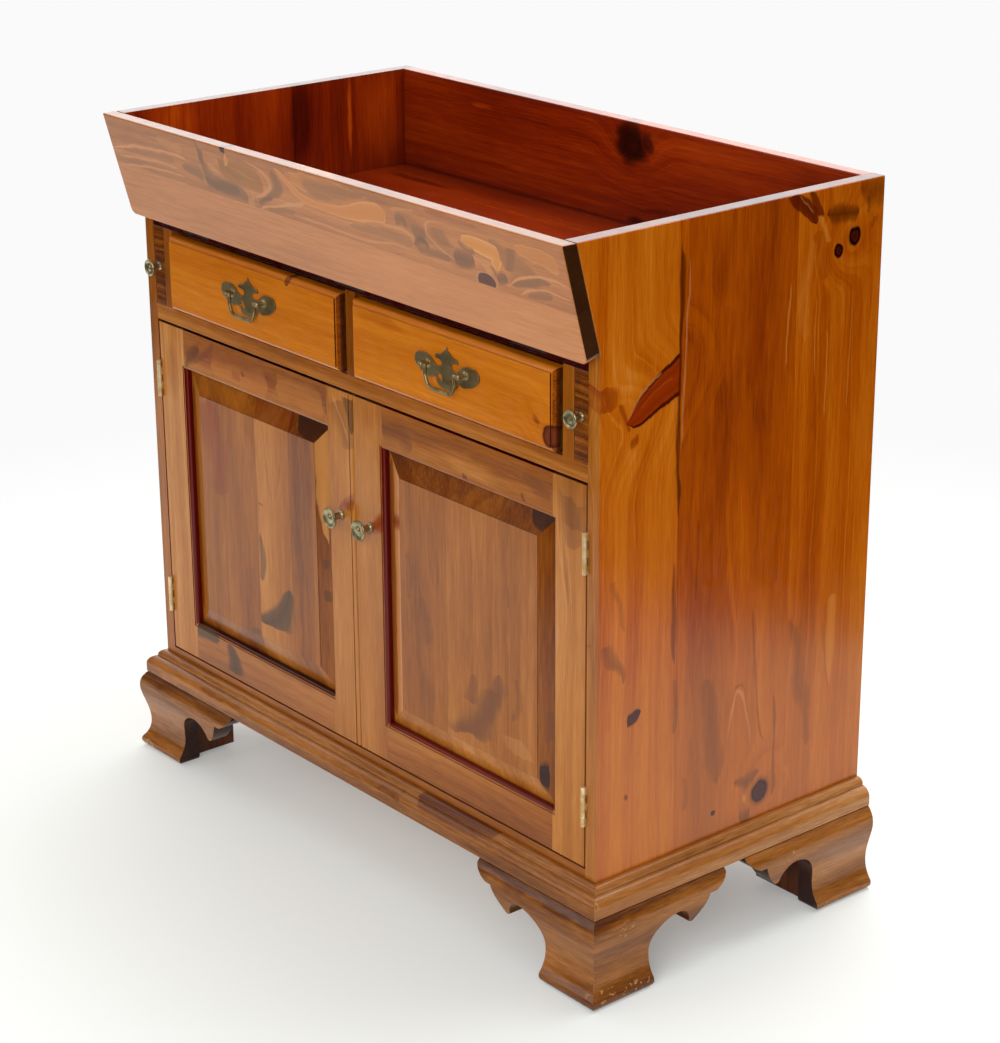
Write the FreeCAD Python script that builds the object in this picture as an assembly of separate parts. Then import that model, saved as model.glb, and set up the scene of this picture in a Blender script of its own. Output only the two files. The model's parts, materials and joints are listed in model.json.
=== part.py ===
# Dry sink cabinet in pine: an open well with a fold-down front board over two drawers and a
# two-door cupboard, on mitred ogee bracket feet.
# Millimetres, +Z up. While the pieces are shaped, y = 0 is the plane of the case front, the front
# looks to -Y, x = 0 is the middle and z = 0 the floor. Pieces are written with the origin on the
# floor in the middle of the overall length and depth.
import FreeCAD
import Part
import math
import os

V = FreeCAD.Vector
X, Y, Z = V(1, 0, 0), V(0, 1, 0), V(0, 0, 1)

# ---- case
case_width = 900.0
case_depth = 439.0
board = 19.0                    # side, well, floor and divider boards
foot_height = 113.0
mould_height = 34.0
bottom_show = 10.5              # bottom board's edge seen above the moulding
door_opening = 476.2            # bottom board to drawer rail
rail_height = 20.5
drawer_opening = 107.0          # drawer rail to the underside of the well floor
well_height = 133.8             # well floor to the top of the sides
housing = 6.0                   # depth of the grooves that hold the boards' ends
tongue_shoulder = 7.0           # board's top to the top of its tongue
housing_stop = 12.0             # where the grooves stop behind the front edge
panel_back = 6.0                # lower back panel
back_rabbet = 8.0
rail_depth = 70.0
runner_side_width = 75.0
runner_centre_width = 90.0
shelf_height = 385.0
shelf_thickness = 16.0
shelf_setback = 30.0
cleat = 20.0
edge_round = 1.5                # worn edges of the boards
cut_over = 1.0                  # how far a cutting shape stands past the wood

# ---- fall (front board of the well)
fall_thickness = 19.0
fall_lean = 15.0                # degrees out of the vertical when it is closed
fall_gap = 1.2                  # round the closed and the open fall
fall_corner = 9.0               # rounded lower corners
fall_hinge_spread = 330.0       # middle hinge to outer hinge
catch_radius = 4.0
catch_length = 18.0
ball_radius = 2.6
ball_reach = 1.8                # ball past the slanted edge of the side
ball_gap = 0.3                  # round the ball in the fall's dimple
catch_below_top = 38.0

# ---- lopers (pull-out supports)
loper_slot = 23.5
loper_side_gap = 0.7
loper_play = 0.3                # above and below
loper_length = 340.0
loper_travel = 180.0
loper_pin_from_end = 40.0       # dowel to the loper's rear end
loper_pin_radius = 4.0
loper_pin_reach = 5.0
loper_pin_play = 0.4
loper_knob_diameter = 22.0
loper_knob_reach = 18.0

# ---- drawers
drawer_gap = 3.7                # at each side of a front
drawer_height = 98.5
drawer_proud = 10.5             # front of the drawer before the case front
drawer_front_thickness = 19.0
drawer_lip = 6.0                # rounded border round the flat field
drawer_lip_step = 2.0
drawer_side = 12.0
drawer_side_drop = 6.0          # sides lower than the front
drawer_bottom = 6.0
drawer_bottom_height = 9.0
drawer_groove = 5.0
glide_radius = 6.0
glide_height = 2.5
glide_gap = 0.3
guide_gap = 0.6
guide_height = 22.0
stop_gap = 0.3
stop_width = 60.0
stop_depth = 15.2               # between the drawer and the well back
tail_count = 3
tail_share = 0.72               # of the pitch, at the wide end
tail_length = 8.0               # ends behind the case front, so a lap covers the tails
tail_flare = 1.6

# ---- pulls
pull_bottom = 24.5              # plate's lower edge below the posts
pull_half = [                   # arcs (through, end) round the right half, from the middle of the posts
    ((10.0, -24.2), (17.0, -20.0)), ((19.2, -15.6), (24.5, -13.6)),     # shield and neck, below
    ((30.5, -16.0), (37.0, -14.8)), ((50.0, -10.2), (58.5, -2.0)),      # wing
    ((56.8, 6.2), (46.0, 9.8)), ((33.5, 9.6), (24.0, 3.2)),
    ((18.6, 0.2), (13.0, 0.2)), ((8.0, 4.4), (13.0, 8.4)),              # neck above, and notch
    ((16.4, 9.4), (19.6, 9.0)), ((20.6, 12.2), (17.0, 14.2)),           # hooked shoulder
    ((9.0, 16.4), (4.2, 20.0)), ((1.4, 22.4), (0.0, 26.0))]             # finial
pull_drop = [(18.0, -9.8), (12.4, -8.6), (8.6, -11.4), (7.4, -15.4), (10.6, -17.4), (15.6, -15.6)]
pull_above_middle = 6.5         # posts above the middle of the drawer front
pull_plate = 1.8
post_spacing = 68.0
post_radius = 3.6
post_reach = 14.0
post_neck_radius = 2.9
post_collar_radius = 6.1
post_collar_height = 2.6
post_tip = 0.7                  # rise of the post's domed end
post_shank_radius = 2.4
post_shank_short = 2.0          # shank's end before the back of the drawer front
bail_radius = 2.3
bail_pin_radius = 1.6
bail_pin_gap = 0.05
bail_drop = 27.0
bail_axis_reach = 10.0          # bail's axis before the plate

# ---- doors
door_thickness = 19.0
door_gap_side = 2.5
door_gap_top = 3.7
door_gap_bottom = 2.5
door_gap_middle = 2.0
stile_width = 56.5
top_rail_width = 55.0
bottom_rail_width = 52.0
sticking = 5.0                  # moulded inner edge of the frame
sticking_step = 1.2
tenon_length = 30.0
tenon_thickness = 6.0
tenon_shoulder = 8.0            # frame's outer edge to the tenon
panel_groove = 8.0
panel_front_depth = 10.5        # door face to the panel's tongue
panel_tongue = 6.0
panel_play = 1.0                # left in the groove for the panel to move
panel_bevel = 29.0
field_depth = 2.0               # door face to the raised field
field_step = 0.8
bead_width = 7.0
bead_round = 2.8
bead_depth = 2.0
bead_groove = 1.6
door_knob_diameter = 27.0
door_knob_reach = 20.0
knob_from_edge = 28.5           # meeting edge to knob
knob_height = 467.0
knob_shank_radius = 3.0
knob_shank = 15.0               # length in the wood

# ---- butt hinges
hinge_length = 50.0
hinge_from_end = 79.0           # door's end to the middle of the hinge
hinge_axis_out = 3.0            # pin before the door face
leaf_thickness = 1.5
leaf_reach = 19.0               # pin to the leaf's far edge
knuckle_radius = 3.0
hinge_pin_radius = 1.5
hinge_play = 0.05
knuckle_gap = 0.3
knuckle_count = 5
fall_hinge_length = 60.0
fall_leaf_thickness = 1.2
fall_leaf_reach = 15.0

# ---- magnetic door catches
magnet_length = 44.0
magnet_height = 13.0
magnet_depth = 14.0
magnet_gap = 0.3
strike_length = 34.0
strike_height = 9.0
strike_thickness = 1.2
strike_below_top = 2.0
magnet_from_edge = 92.0

# ---- base moulding and ogee bracket feet
mould_reach = 22.5
mould_flat = 2.5                # level strip beside the case
mould_round_reach = 10.5        # upper round
mould_round_drop = 8.0
mould_round_bulge = 2.3
mould_fillet = 1.2
mould_step = 1.5
mould_thumb_drop = 20.5         # where the lower round meets the upright face
mould_thumb_bulge = 2.5
mould_chamfer = 1.5
foot_toe = 31.5                 # toe before the case
foot_bulge = 30.5
foot_waist = 20.5
foot_top = 21.8
bulge_below_top = 22.0
waist_height = 42.0
toe_round = 8.5                 # round under the toe and at the leg's inner corner
toe_flare = 35.0                # degrees out of the upright, where the round begins
ogee_lift = 2.0                 # turn of the ogee above half-way
foot_inset = 2.0                # bracket's back face behind the case face
bracket_length = 218.0
leg_width = 97.0
arch_radius = 40.0
arch_below_top = 28.0
scroll_tip = 4.0                # upright end of the bracket
scroll_round = 21.0             # rounded corner after it
scroll_round_drop = 16.5
scroll_round_bulge = 2.0
scroll_ledge = 9.5
scroll_point_drop = 50.0        # point of the scroll below the foot's top
scroll_point_from_end = 59.5
scroll_point_width = 9.5
scroll_point_bulge = 2.5
scroll_shoulder_bulge = 6.0     # arch down to the point
scroll_neck_bulge = 2.3         # swell from the point up to the ledge
rear_bracket_length = 150.0
rear_bracket_tip = 20.0
rear_leg_width = 57.0
block_size = 60.0
rear_block_width = 75.0
block_setback = 1.0             # rear block behind the leg's inner edge
block_lift = 8.0

# ---- worked out
arc_sag = 1 - math.sqrt(0.5)    # bulge of a quarter circle, as a share of its radius
half_width = case_width / 2
inner_x = half_width - board
bottom_top = foot_height + mould_height + bottom_show
rail_bottom = bottom_top + door_opening
rail_top = rail_bottom + rail_height
floor_under = rail_top + drawer_opening
floor_top = floor_under + board
case_height = floor_top + well_height
lean = math.radians(fall_lean)
pivot_y = -fall_gap / 2
fall_along = (case_height - floor_top) / math.cos(lean)
fall_reach = fall_gap / 2 + fall_along * math.sin(lean) + fall_thickness / math.cos(lean)
origin_y = (case_depth - fall_reach) / 2

loper_inner_x = inner_x - loper_slot
divider_inner_x = loper_inner_x - board
loper_x = (loper_inner_x + inner_x) / 2
loper_middle_z = (rail_top + floor_under) / 2
loper_pin_y = loper_length - loper_pin_from_end

drawer_x0 = board / 2 + drawer_gap
drawer_x1 = divider_inner_x - drawer_gap
drawer_x = (drawer_x0 + drawer_x1) / 2
drawer_z0 = rail_top + glide_height + glide_gap
drawer_z1 = drawer_z0 + drawer_height
drawer_face_y = -drawer_proud
drawer_front_back = drawer_face_y + drawer_front_thickness
drawer_back_y = case_depth - board - stop_depth - stop_gap
pull_z = (drawer_z0 + drawer_z1) / 2 + pull_above_middle
bail_y = drawer_face_y - pull_plate - bail_axis_reach

door_x0 = door_gap_middle / 2
door_x1 = inner_x - door_gap_side
door_z0 = bottom_top + door_gap_bottom
door_z1 = rail_bottom - door_gap_top
hinge_x = inner_x - door_gap_side / 2
knob_x = door_x0 + knob_from_edge
opening_x0 = door_x0 + stile_width
opening_x1 = door_x1 - stile_width
opening_z0 = door_z0 + bottom_rail_width
opening_z1 = door_z1 - top_rail_width


# ---- shaping helpers
def block(x0, x1, y0, y1, z0, z1):
    return Part.makeBox(x1 - x0, y1 - y0, z1 - z0, V(x0, y0, z0))


def in_xy(u, v):
    return V(u, v, 0)


def in_xz(u, v):
    return V(u, 0, v)


def in_yz(u, v):
    return V(0, u, v)


def outline(plane, start, *steps):
    """Closed face. A step is a point, or (through, end) for an arc."""
    edges = []
    here = start
    for step in steps + (start,):
        if isinstance(step[0], tuple):
            through, end = step
            edges.append(Part.Arc(plane(*here), plane(*through), plane(*end)).toShape())
        else:
            end = step
            if plane(*here).distanceToPoint(plane(*end)) > 1e-6:
                edges.append(Part.makeLine(plane(*here), plane(*end)))
        here = end
    return Part.Face(Part.Wire(edges))


def bowed(start, end, bulge):
    """Step of an outline: an arc that stands out of its chord, to the left of the way."""
    (u0, v0), (u1, v1) = start, end
    chord = math.hypot(u1 - u0, v1 - v0)
    through = ((u0 + u1) / 2 - (v1 - v0) / chord * bulge, (v0 + v1) / 2 + (u1 - u0) / chord * bulge)
    return through, end


def moved(shape, x, y, z):
    copy = shape.copy()
    copy.translate(V(x, y, z))
    return copy


def turned(shape, axis, degrees, at=V(0, 0, 0)):
    copy = shape.copy()
    copy.rotate(at, axis, degrees)
    return copy


def mirrored(shape):
    return shape.mirror(V(0, 0, 0), X)


def both(shape):
    return [shape, mirrored(shape)]


def cut(shape, tools):
    for tool in tools:
        shape = shape.cut(tool)
    return shape


def lathe(axis_start, axis, steps):
    """Turned piece: steps are (radius, distance along the axis) from the axis and back to it."""
    profile = outline(in_xz, *steps)
    solid = profile.revolve(V(0, 0, 0), Z, 360)
    solid.Placement = FreeCAD.Placement(axis_start, FreeCAD.Rotation(Z, axis))
    return solid


def dome(radius, base, top):
    """Arc from a rim at the given radius to the axis, as part of a sphere."""
    rise = top - base
    sphere = (radius ** 2 + rise ** 2) / (2 * rise)
    half = math.asin(radius / sphere) / 2
    return (sphere * math.sin(half), top - sphere * (1 - math.cos(half))), (0, top)


def rounded(shape, radius, chosen):
    """Fillet the edges that the test picks out."""
    return shape.makeFillet(radius, [edge for edge in shape.Edges if chosen(edge)])


def lies_at(edge, axis, value):
    box = edge.BoundBox
    low, high = {"x": (box.XMin, box.XMax), "y": (box.YMin, box.YMax), "z": (box.ZMin, box.ZMax)}[axis]
    return abs(low - value) < 1e-4 and abs(high - value) < 1e-4


# ---- case
def tongue(y0, y1, z0, z1):
    """Right-hand end of a board, in a groove of the side that stops short of the front."""
    return block(inner_x, inner_x + housing, max(y0, housing_stop), y1, z0, z1 - tongue_shoulder)


case_boards = {
    "bottom_board": (0, case_depth - panel_back, bottom_top - board, bottom_top),
    "rail_front": (0, rail_depth, rail_bottom, rail_top),
    "rail_back": (case_depth - board - rail_depth, case_depth - board, rail_bottom, rail_top),
    "well_floor": (0, case_depth - board, floor_under, floor_top),
}


def case_board(name):
    span = case_boards[name]
    end = tongue(*span)
    return block(-inner_x, inner_x, *span).multiFuse(both(end)).removeSplitter()


def side():
    """Right side board with its grooves, hinge seats and catch hole."""
    # the slanted edge keeps the gap to the closed fall, and meets the upright one at the knee
    knee_rise = (fall_gap * math.cos(lean) - fall_gap / 2) / math.tan(lean) + fall_gap * math.sin(lean)
    knee = (0, floor_top + knee_rise)
    top = (-(case_height - knee[1]) * math.tan(lean), case_height)
    face = outline(in_yz, (0, foot_height), knee, top, (case_depth, case_height), (case_depth, foot_height))
    solid = moved(face.extrude(X * board), inner_x, 0, 0)
    solid = rounded(solid, edge_round, lambda edge: lies_at(edge, "x", half_width)
                    and edge.BoundBox.ZMin > foot_height + edge_round)
    rabbet = block(inner_x, inner_x + back_rabbet, case_depth - panel_back, case_depth,
                   bottom_top - board, floor_under)
    grooves = [tongue(*span) for span in case_boards.values()]
    seats = [door_hinge(z, "fixed", seat=True) for z in door_hinge_heights()]
    return cut(solid, grooves + [rabbet, catch_hole()] + seats)


def catch_place():
    """Middle of the ball catch on the slanted edge of the right side."""
    drop = fall_along - catch_below_top
    at_y = pivot_y + fall_gap * math.cos(lean) - drop * math.sin(lean)
    at_z = floor_top + fall_gap * math.sin(lean) + drop * math.cos(lean)
    return V(inner_x + board / 2, at_y, at_z)


def catch_axis():
    return V(0, -math.cos(lean), -math.sin(lean))


def catch_hole():
    return Part.makeCylinder(catch_radius, catch_length, catch_place(), catch_axis() * -1)


def fall_catch():
    """Spring ball catch: barrel let into the side, ball standing out of it."""
    centre = catch_place() + catch_axis() * (ball_reach - ball_radius)
    return catch_hole().fuse(Part.makeSphere(ball_radius, centre)).removeSplitter()


def well_back():
    solid = block(-inner_x, inner_x, case_depth - board, case_depth, floor_under, case_height)
    return rounded(solid, edge_round, lambda edge: lies_at(edge, "z", case_height)
                   and edge.Length > case_width / 2)


def lower_back_panel():
    reach = inner_x + back_rabbet
    return block(-reach, reach, case_depth - panel_back, case_depth, bottom_top - board, floor_under)


def drawer_runners():
    y0, y1 = rail_depth, case_depth - board - rail_depth
    outer = block(inner_x - runner_side_width, inner_x, y0, y1, rail_bottom, rail_top)
    centre = block(-runner_centre_width / 2, runner_centre_width / 2, y0, y1, rail_bottom, rail_top)
    return both(outer) + [centre]


def loper_divider():
    solid = block(divider_inner_x, loper_inner_x, 0, case_depth - board, rail_top, floor_under)
    half = loper_pin_radius + loper_pin_play
    groove_depth = loper_pin_reach - loper_side_gap + loper_pin_play
    front, rear = loper_pin_y - loper_travel - half, loper_pin_y + half
    slot = block(loper_inner_x - groove_depth, loper_inner_x, front, rear,
                 loper_middle_z - half, loper_middle_z + half)
    return solid.cut(slot)


def centre_divider():
    return block(-board / 2, board / 2, 0, case_depth - board, rail_top, floor_under)


def drawer_glides():
    """Domed tacks under the front and rear corners of each drawer."""
    xs = [drawer_x0 + drawer_side, drawer_x1 - drawer_side]
    ys = [glide_radius + edge_round, case_depth - board - rail_depth / 2]
    tack = lathe(V(0, 0, 0), Z, [(0, 0), (glide_radius, 0), (glide_radius, glide_height * 0.6),
                                 (glide_radius * 0.7, glide_height), (0, glide_height)])
    return [part for x in xs for y in ys for part in both(moved(tack, x, y, rail_top))]


def drawer_guides():
    """Strips on the dividers that centre the drawers."""
    thick = drawer_gap - guide_gap
    y0, y1 = rail_depth / 2, case_depth - board - rail_depth / 2
    z0 = rail_top + glide_height
    inner = block(board / 2, board / 2 + thick, y0, y1, z0, z0 + guide_height)
    outer = block(divider_inner_x - thick, divider_inner_x, y0, y1, z0, z0 + guide_height)
    return both(inner) + both(outer)


def drawer_stops():
    x0 = drawer_x - stop_width / 2
    return both(block(x0, x0 + stop_width, drawer_back_y + stop_gap, case_depth - board,
                      rail_top, rail_top + guide_height))


def shelf():
    solid = block(-inner_x, inner_x, shelf_setback, case_depth - panel_back,
                  shelf_height - shelf_thickness, shelf_height)
    return rounded(solid, edge_round, lambda edge: lies_at(edge, "y", shelf_setback)
                   and edge.Length > case_width / 2)


def shelf_cleats():
    top = shelf_height - shelf_thickness
    y0, y1 = shelf_setback + cleat, case_depth - panel_back
    return both(block(inner_x - cleat, inner_x, y0, y1, top - cleat, top))


def base_rails():
    top = bottom_top - board
    rear_y = case_depth - panel_back
    front = block(-inner_x, inner_x, 0, rail_depth, foot_height, top)
    rear = block(-inner_x, inner_x, rear_y - rail_depth, rear_y, foot_height, top)
    return [front, rear]


def door_catches():
    """Magnetic catch under the drawer rail, just behind each door."""
    x0 = door_x0 + magnet_from_edge - magnet_length / 2
    y0 = door_thickness + magnet_gap
    y1 = y0 + magnet_depth
    solid = block(x0, x0 + magnet_length, y0, y1, rail_bottom - magnet_height, rail_bottom)
    return both(rounded(solid, edge_round, lambda edge: lies_at(edge, "y", y1)
                        and edge.Length > magnet_depth))


# ---- base moulding
def mould_face():
    """Section of the base moulding: u outwards from the case, v up."""
    top = foot_height + mould_height
    round_start, round_end = (-mould_flat, top), (-mould_round_reach, top - mould_round_drop)
    step_z = round_end[1] - mould_fillet
    thumb_start = (round_end[0] - mould_step, step_z)
    thumb_end = (-mould_reach, top - mould_thumb_drop)
    return outline(
        in_yz, (0, foot_height), (0, top), round_start,
        bowed(round_start, round_end, -mould_round_bulge), (round_end[0], step_z), thumb_start,
        bowed(thumb_start, thumb_end, -mould_thumb_bulge), (-mould_reach, foot_height + mould_chamfer),
        (mould_chamfer - mould_reach, foot_height))


def mitre_prism(size, sign):
    """Half of the corner square outside the front right corner, cut along the mitre."""
    far_corner = (size, 0) if sign > 0 else (0, -size)
    face = outline(in_xy, (0, 0), (size, -size), far_corner)
    prism = face.extrude(Z * (mould_height + 2 * cut_over))
    return moved(prism, half_width, 0, foot_height - cut_over)


def moulding_front():
    size = mould_reach + cut_over
    solid = moved(mould_face().extrude(X * (case_width + 2 * size)), -half_width - size, 0, 0)
    return cut(solid, both(mitre_prism(size + cut_over, 1)))


def moulding_side():
    size = mould_reach + cut_over
    solid = moved(mould_face().extrude(X * (case_depth + size)), -size, 0, 0)
    solid = moved(turned(solid, Z, 90), half_width, 0, 0)
    return solid.cut(mitre_prism(size + cut_over, -1))


# ---- ogee bracket feet
def ogee_face():
    """Section of a bracket: an S from the moulding over the bulge and waist to the toe."""
    bulge_z = foot_height - bulge_below_top
    middle, flare = toe_round - foot_toe, math.radians(toe_flare)
    toe = (middle - toe_round * math.cos(flare), toe_round * (1 + math.sin(flare)))
    points = [(-foot_top, foot_height), (-foot_bulge, bulge_z),
              (-(foot_bulge + foot_waist) / 2, (bulge_z + waist_height) / 2 + ogee_lift),
              (-foot_waist, waist_height), toe]
    curve = Part.BSplineCurve()
    curve.interpolate([in_yz(*point) for point in points])
    under = in_yz(toe_round * arc_sag - foot_toe, toe_round * arc_sag)
    rest = [(middle, 0), (foot_inset, 0), (foot_inset, foot_height), points[0]]
    edges = [curve.toShape(), Part.Arc(in_yz(*toe), under, in_yz(*rest[0])).toShape()]
    edges += [Part.makeLine(in_yz(*a), in_yz(*b)) for a, b in zip(rest, rest[1:])]
    return Part.Face(Part.Wire(edges))


def scroll_face():
    """Face outline of a bracket: leg, round arch, scrolled point, ledge and rounded tip."""
    top = foot_height
    arch_start = (leg_width, top - arch_below_top - arch_radius)
    arch_end = (leg_width + arch_radius, top - arch_below_top)
    point_start = (bracket_length - scroll_point_from_end, top - scroll_point_drop)
    point_end = (point_start[0] + scroll_point_width, point_start[1])
    ledge_end = (bracket_length - scroll_round, top - scroll_tip - scroll_round_drop)
    ledge_start = (ledge_end[0] - scroll_ledge, ledge_end[1])
    tip = (bracket_length, top - scroll_tip)
    sole, leg_edge = (leg_width - toe_round, 0), (leg_width, toe_round)
    return outline(
        in_xz, (0, 0), sole, bowed(sole, leg_edge, -toe_round * arc_sag), arch_start,
        bowed(arch_start, arch_end, arch_radius * arc_sag),
        bowed(arch_end, point_start, scroll_shoulder_bulge),
        bowed(point_start, point_end, -scroll_point_bulge),
        bowed(point_end, ledge_start, -scroll_neck_bulge), ledge_end,
        bowed(ledge_end, tip, -scroll_round_bulge), (bracket_length, top), (0, top))


def ogee_bracket(mitre):
    """Bracket along +X from the toe's corner, its moulded face to -Y."""
    form = ogee_face().extrude(X * bracket_length)
    scroll = moved(scroll_face().extrude(Y * (foot_toe + foot_inset)), 0, -foot_toe, 0)
    solid = form.common(scroll)
    if mitre:
        far = -foot_toe - cut_over
        corner = outline(in_xy, (foot_toe + foot_inset, foot_inset), (-cut_over, far),
                         (-cut_over, foot_inset))
        solid = solid.cut(corner.extrude(Z * foot_height))
    return solid


def front_foot():
    """Right front foot: face bracket and side bracket, mitred at the corner."""
    bracket = ogee_bracket(mitre=True)
    face_bracket = moved(mirrored(bracket), half_width + foot_toe, 0, 0)
    side_bracket = moved(turned(bracket, Z, 90), half_width, -foot_toe, 0)
    return [face_bracket, side_bracket]


def rear_foot():
    """Right rear foot: ogee side bracket and a plain bracket under the back."""
    side_bracket = moved(turned(mirrored(ogee_bracket(mitre=False)), Z, 90), half_width, case_depth, 0)
    outer = half_width - foot_inset
    inner = outer - rear_bracket_length
    face = outline(in_xz, (outer, 0), (outer, foot_height), (inner, foot_height),
                   (inner, foot_height - rear_bracket_tip), (outer - rear_leg_width, 0))
    return [side_bracket, moved(face.extrude(Y * board), 0, case_depth - board, 0)]


def foot_blocks():
    """Glue blocks in the corners behind the brackets."""
    outer = half_width - foot_inset
    front = block(outer - block_size, outer, foot_inset, foot_inset + block_size, block_lift, foot_height)
    leg_edge = case_depth - leg_width
    rear = block(outer - rear_block_width, outer, leg_edge + block_setback, case_depth - board,
                 block_lift, foot_height)
    return both(front) + both(rear)


# ---- butt hinges
def hinge(kind, length, gap, leaf, reach, seat=False):
    """One part of a butt hinge whose pin stands on the origin along Z. The fixed leaf lies at +X
    of the pin and the moving leaf at -X, and both reach to +Y. A seat is the leaf's bare plate."""
    side_of = 1 if kind == "fixed" else -1
    x_near, x_far = sorted((side_of * gap / 2, side_of * (gap / 2 + leaf)))
    plate_start = knuckle_radius + knuckle_gap
    plate = block(x_near, x_far, plate_start, reach, -length / 2, length / 2)
    if seat:
        return block(x_near, x_far, 0, reach, -length / 2, length / 2)
    step = length / knuckle_count
    pieces = [plate]
    for index in range(0 if kind == "fixed" else 1, knuckle_count, 2):
        z0 = -length / 2 + index * step + (knuckle_gap / 2 if index else 0)
        z1 = -length / 2 + (index + 1) * step - (knuckle_gap / 2 if index < knuckle_count - 1 else 0)
        pieces.append(Part.makeCylinder(knuckle_radius, z1 - z0, V(0, 0, z0)))
        pieces.append(block(x_near, x_far, 0, plate_start + cut_over, z0, z1))
    solid = pieces[0].multiFuse(pieces[1:]).removeSplitter()
    return solid.cut(Part.makeCylinder(hinge_pin_radius + hinge_play, length, V(0, 0, -length / 2)))


def hinge_pin(length):
    return Part.makeCylinder(hinge_pin_radius, length, V(0, 0, -length / 2))


def door_hinge_heights():
    return [door_z0 + hinge_from_end, door_z1 - hinge_from_end]


def door_hinge(z, kind, seat=False):
    if kind == "pin":
        solid = hinge_pin(hinge_length)
    else:
        solid = hinge(kind, hinge_length, door_gap_side, leaf_thickness, leaf_reach, seat)
    return moved(solid, hinge_x, -hinge_axis_out, z)


def fall_hinge(x, kind, seat=False):
    """Hinge of the fall, in the open position."""
    if kind == "pin":
        solid = hinge_pin(fall_hinge_length)
    else:
        solid = hinge(kind, fall_hinge_length, fall_gap, fall_leaf_thickness, fall_leaf_reach, seat)
    along_x = FreeCAD.Rotation(Y, Z * -1, X * -1, "XYZ")
    solid.Placement = FreeCAD.Placement(V(x, pivot_y, floor_top), along_x)
    return solid


def fall_hinge_places():
    return [-fall_hinge_spread, 0, fall_hinge_spread]


# ---- fall
def closed(shape):
    """From the open position of the fall to the closed one."""
    return turned(shape, X, -(90 - fall_lean), V(0, pivot_y, floor_top))


def knuckle_notch(x):
    """Room for the knuckles in the floor's front edge and in the fall."""
    long = fall_hinge_length + 2 * knuckle_gap
    return Part.makeCylinder(knuckle_radius + knuckle_gap, long, V(x - long / 2, pivot_y, floor_top), X)


def well_floor():
    notches = [knuckle_notch(x) for x in fall_hinge_places()]
    seats = [fall_hinge(x, "fixed", seat=True) for x in fall_hinge_places()]
    return cut(case_board("well_floor"), notches + seats)


def fall_board():
    """Sloping board, its top edge level with the sides when it is closed."""
    rear = pivot_y - fall_gap / 2
    under = floor_top - fall_thickness
    solid = block(-half_width, half_width, rear - fall_along - fall_thickness, rear, under, floor_top)
    solid = rounded(solid, fall_corner, lambda edge: lies_at(edge, "y", rear)
                    and edge.Length < 2 * fall_thickness)
    solid = rounded(solid, edge_round, lambda edge: lies_at(edge, "z", under))
    seats = [fall_hinge(x, "moving", seat=True) for x in fall_hinge_places()]
    solid = closed(cut(solid, seats + [knuckle_notch(x) for x in fall_hinge_places()]))
    reach = fall_along + 2 * fall_thickness
    wide = half_width + cut_over
    above = block(-wide, wide, -reach, reach, case_height, case_height + reach)
    ball_centre = catch_place() + catch_axis() * (ball_reach - ball_radius)
    dimple = Part.makeSphere(ball_radius + ball_gap, ball_centre)
    solid = cut(solid, [above] + both(dimple))
    return rounded(solid, edge_round, lambda edge: lies_at(edge, "z", case_height)
                   and edge.Length > half_width)


# ---- lopers
def knob(diameter, reach):
    """Turned brass knob on the XZ plane, standing out to -Y: a thin disc on a waisted stem, its
    face dished round a small boss."""
    radius = diameter / 2
    return lathe(V(0, 0, 0), Y * -1, [
        (0, -knob_shank), (knob_shank_radius, -knob_shank), (knob_shank_radius, 0), (radius * 0.48, 0),
        (radius * 0.48, reach * 0.07), ((radius * 0.36, reach * 0.14), (radius * 0.31, reach * 0.3)),
        (radius * 0.31, reach * 0.6), ((radius * 0.42, reach * 0.76), (radius * 0.72, reach * 0.83)),
        (radius * 0.95, reach * 0.86), ((radius, reach * 0.92), (radius * 0.95, reach * 0.98)),
        (radius * 0.86, reach), ((radius * 0.6, reach * 0.93), (radius * 0.3, reach * 0.95)),
        dome(radius * 0.3, reach * 0.95, reach)])


def loper():
    """Right loper with the dowel that runs in the divider's groove."""
    x0, x1 = loper_inner_x + loper_side_gap, inner_x - loper_side_gap
    solid = block(x0, x1, 0, loper_length, rail_top + loper_play, floor_under - loper_play)
    solid = rounded(solid, edge_round / 2, lambda edge: lies_at(edge, "y", 0))
    depth = (x1 - x0) / 2
    dowel = Part.makeCylinder(loper_pin_radius, loper_pin_reach + depth,
                              V(x0 - loper_pin_reach, loper_pin_y, loper_middle_z), X)
    return [cut(solid, [dowel, knob_hole(loper_x, loper_middle_z)]), dowel]


def knob_hole(x, z):
    return Part.makeCylinder(knob_shank_radius, knob_shank, V(x, 0, z), Y)


def loper_knob():
    return moved(knob(loper_knob_diameter, loper_knob_reach), loper_x, 0, loper_middle_z)


# ---- drawers, shaped as the right one
def tails(x0, x1, base_y, tip_y):
    """Dovetails across a drawer side's end."""
    z0, z1 = drawer_z0, drawer_z1 - drawer_side_drop
    pitch = (z1 - z0) / tail_count
    half = pitch * tail_share / 2
    pieces = []
    for index in range(tail_count):
        middle = z0 + (index + 0.5) * pitch
        face = outline(in_yz, (base_y, middle - half + tail_flare), (tip_y, middle - half),
                       (tip_y, middle + half), (base_y, middle + half - tail_flare))
        pieces.append(moved(face.extrude(X * (x1 - x0)), x0, 0, 0))
    return pieces


def side_spans():
    return [(drawer_x0, drawer_x0 + drawer_side), (drawer_x1 - drawer_side, drawer_x1)]


def front_tails(span):
    return tails(span[0], span[1], drawer_front_back, drawer_front_back - tail_length)


def rear_tails(span):
    return tails(span[0], span[1], drawer_back_y - drawer_side, drawer_back_y)


def drawer_bottom_panel():
    z0 = drawer_z0 + drawer_bottom_height
    inset = drawer_side - drawer_groove
    return block(drawer_x0 + inset, drawer_x1 - inset, drawer_front_back - drawer_groove,
                 drawer_back_y, z0, z0 + drawer_bottom)


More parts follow.
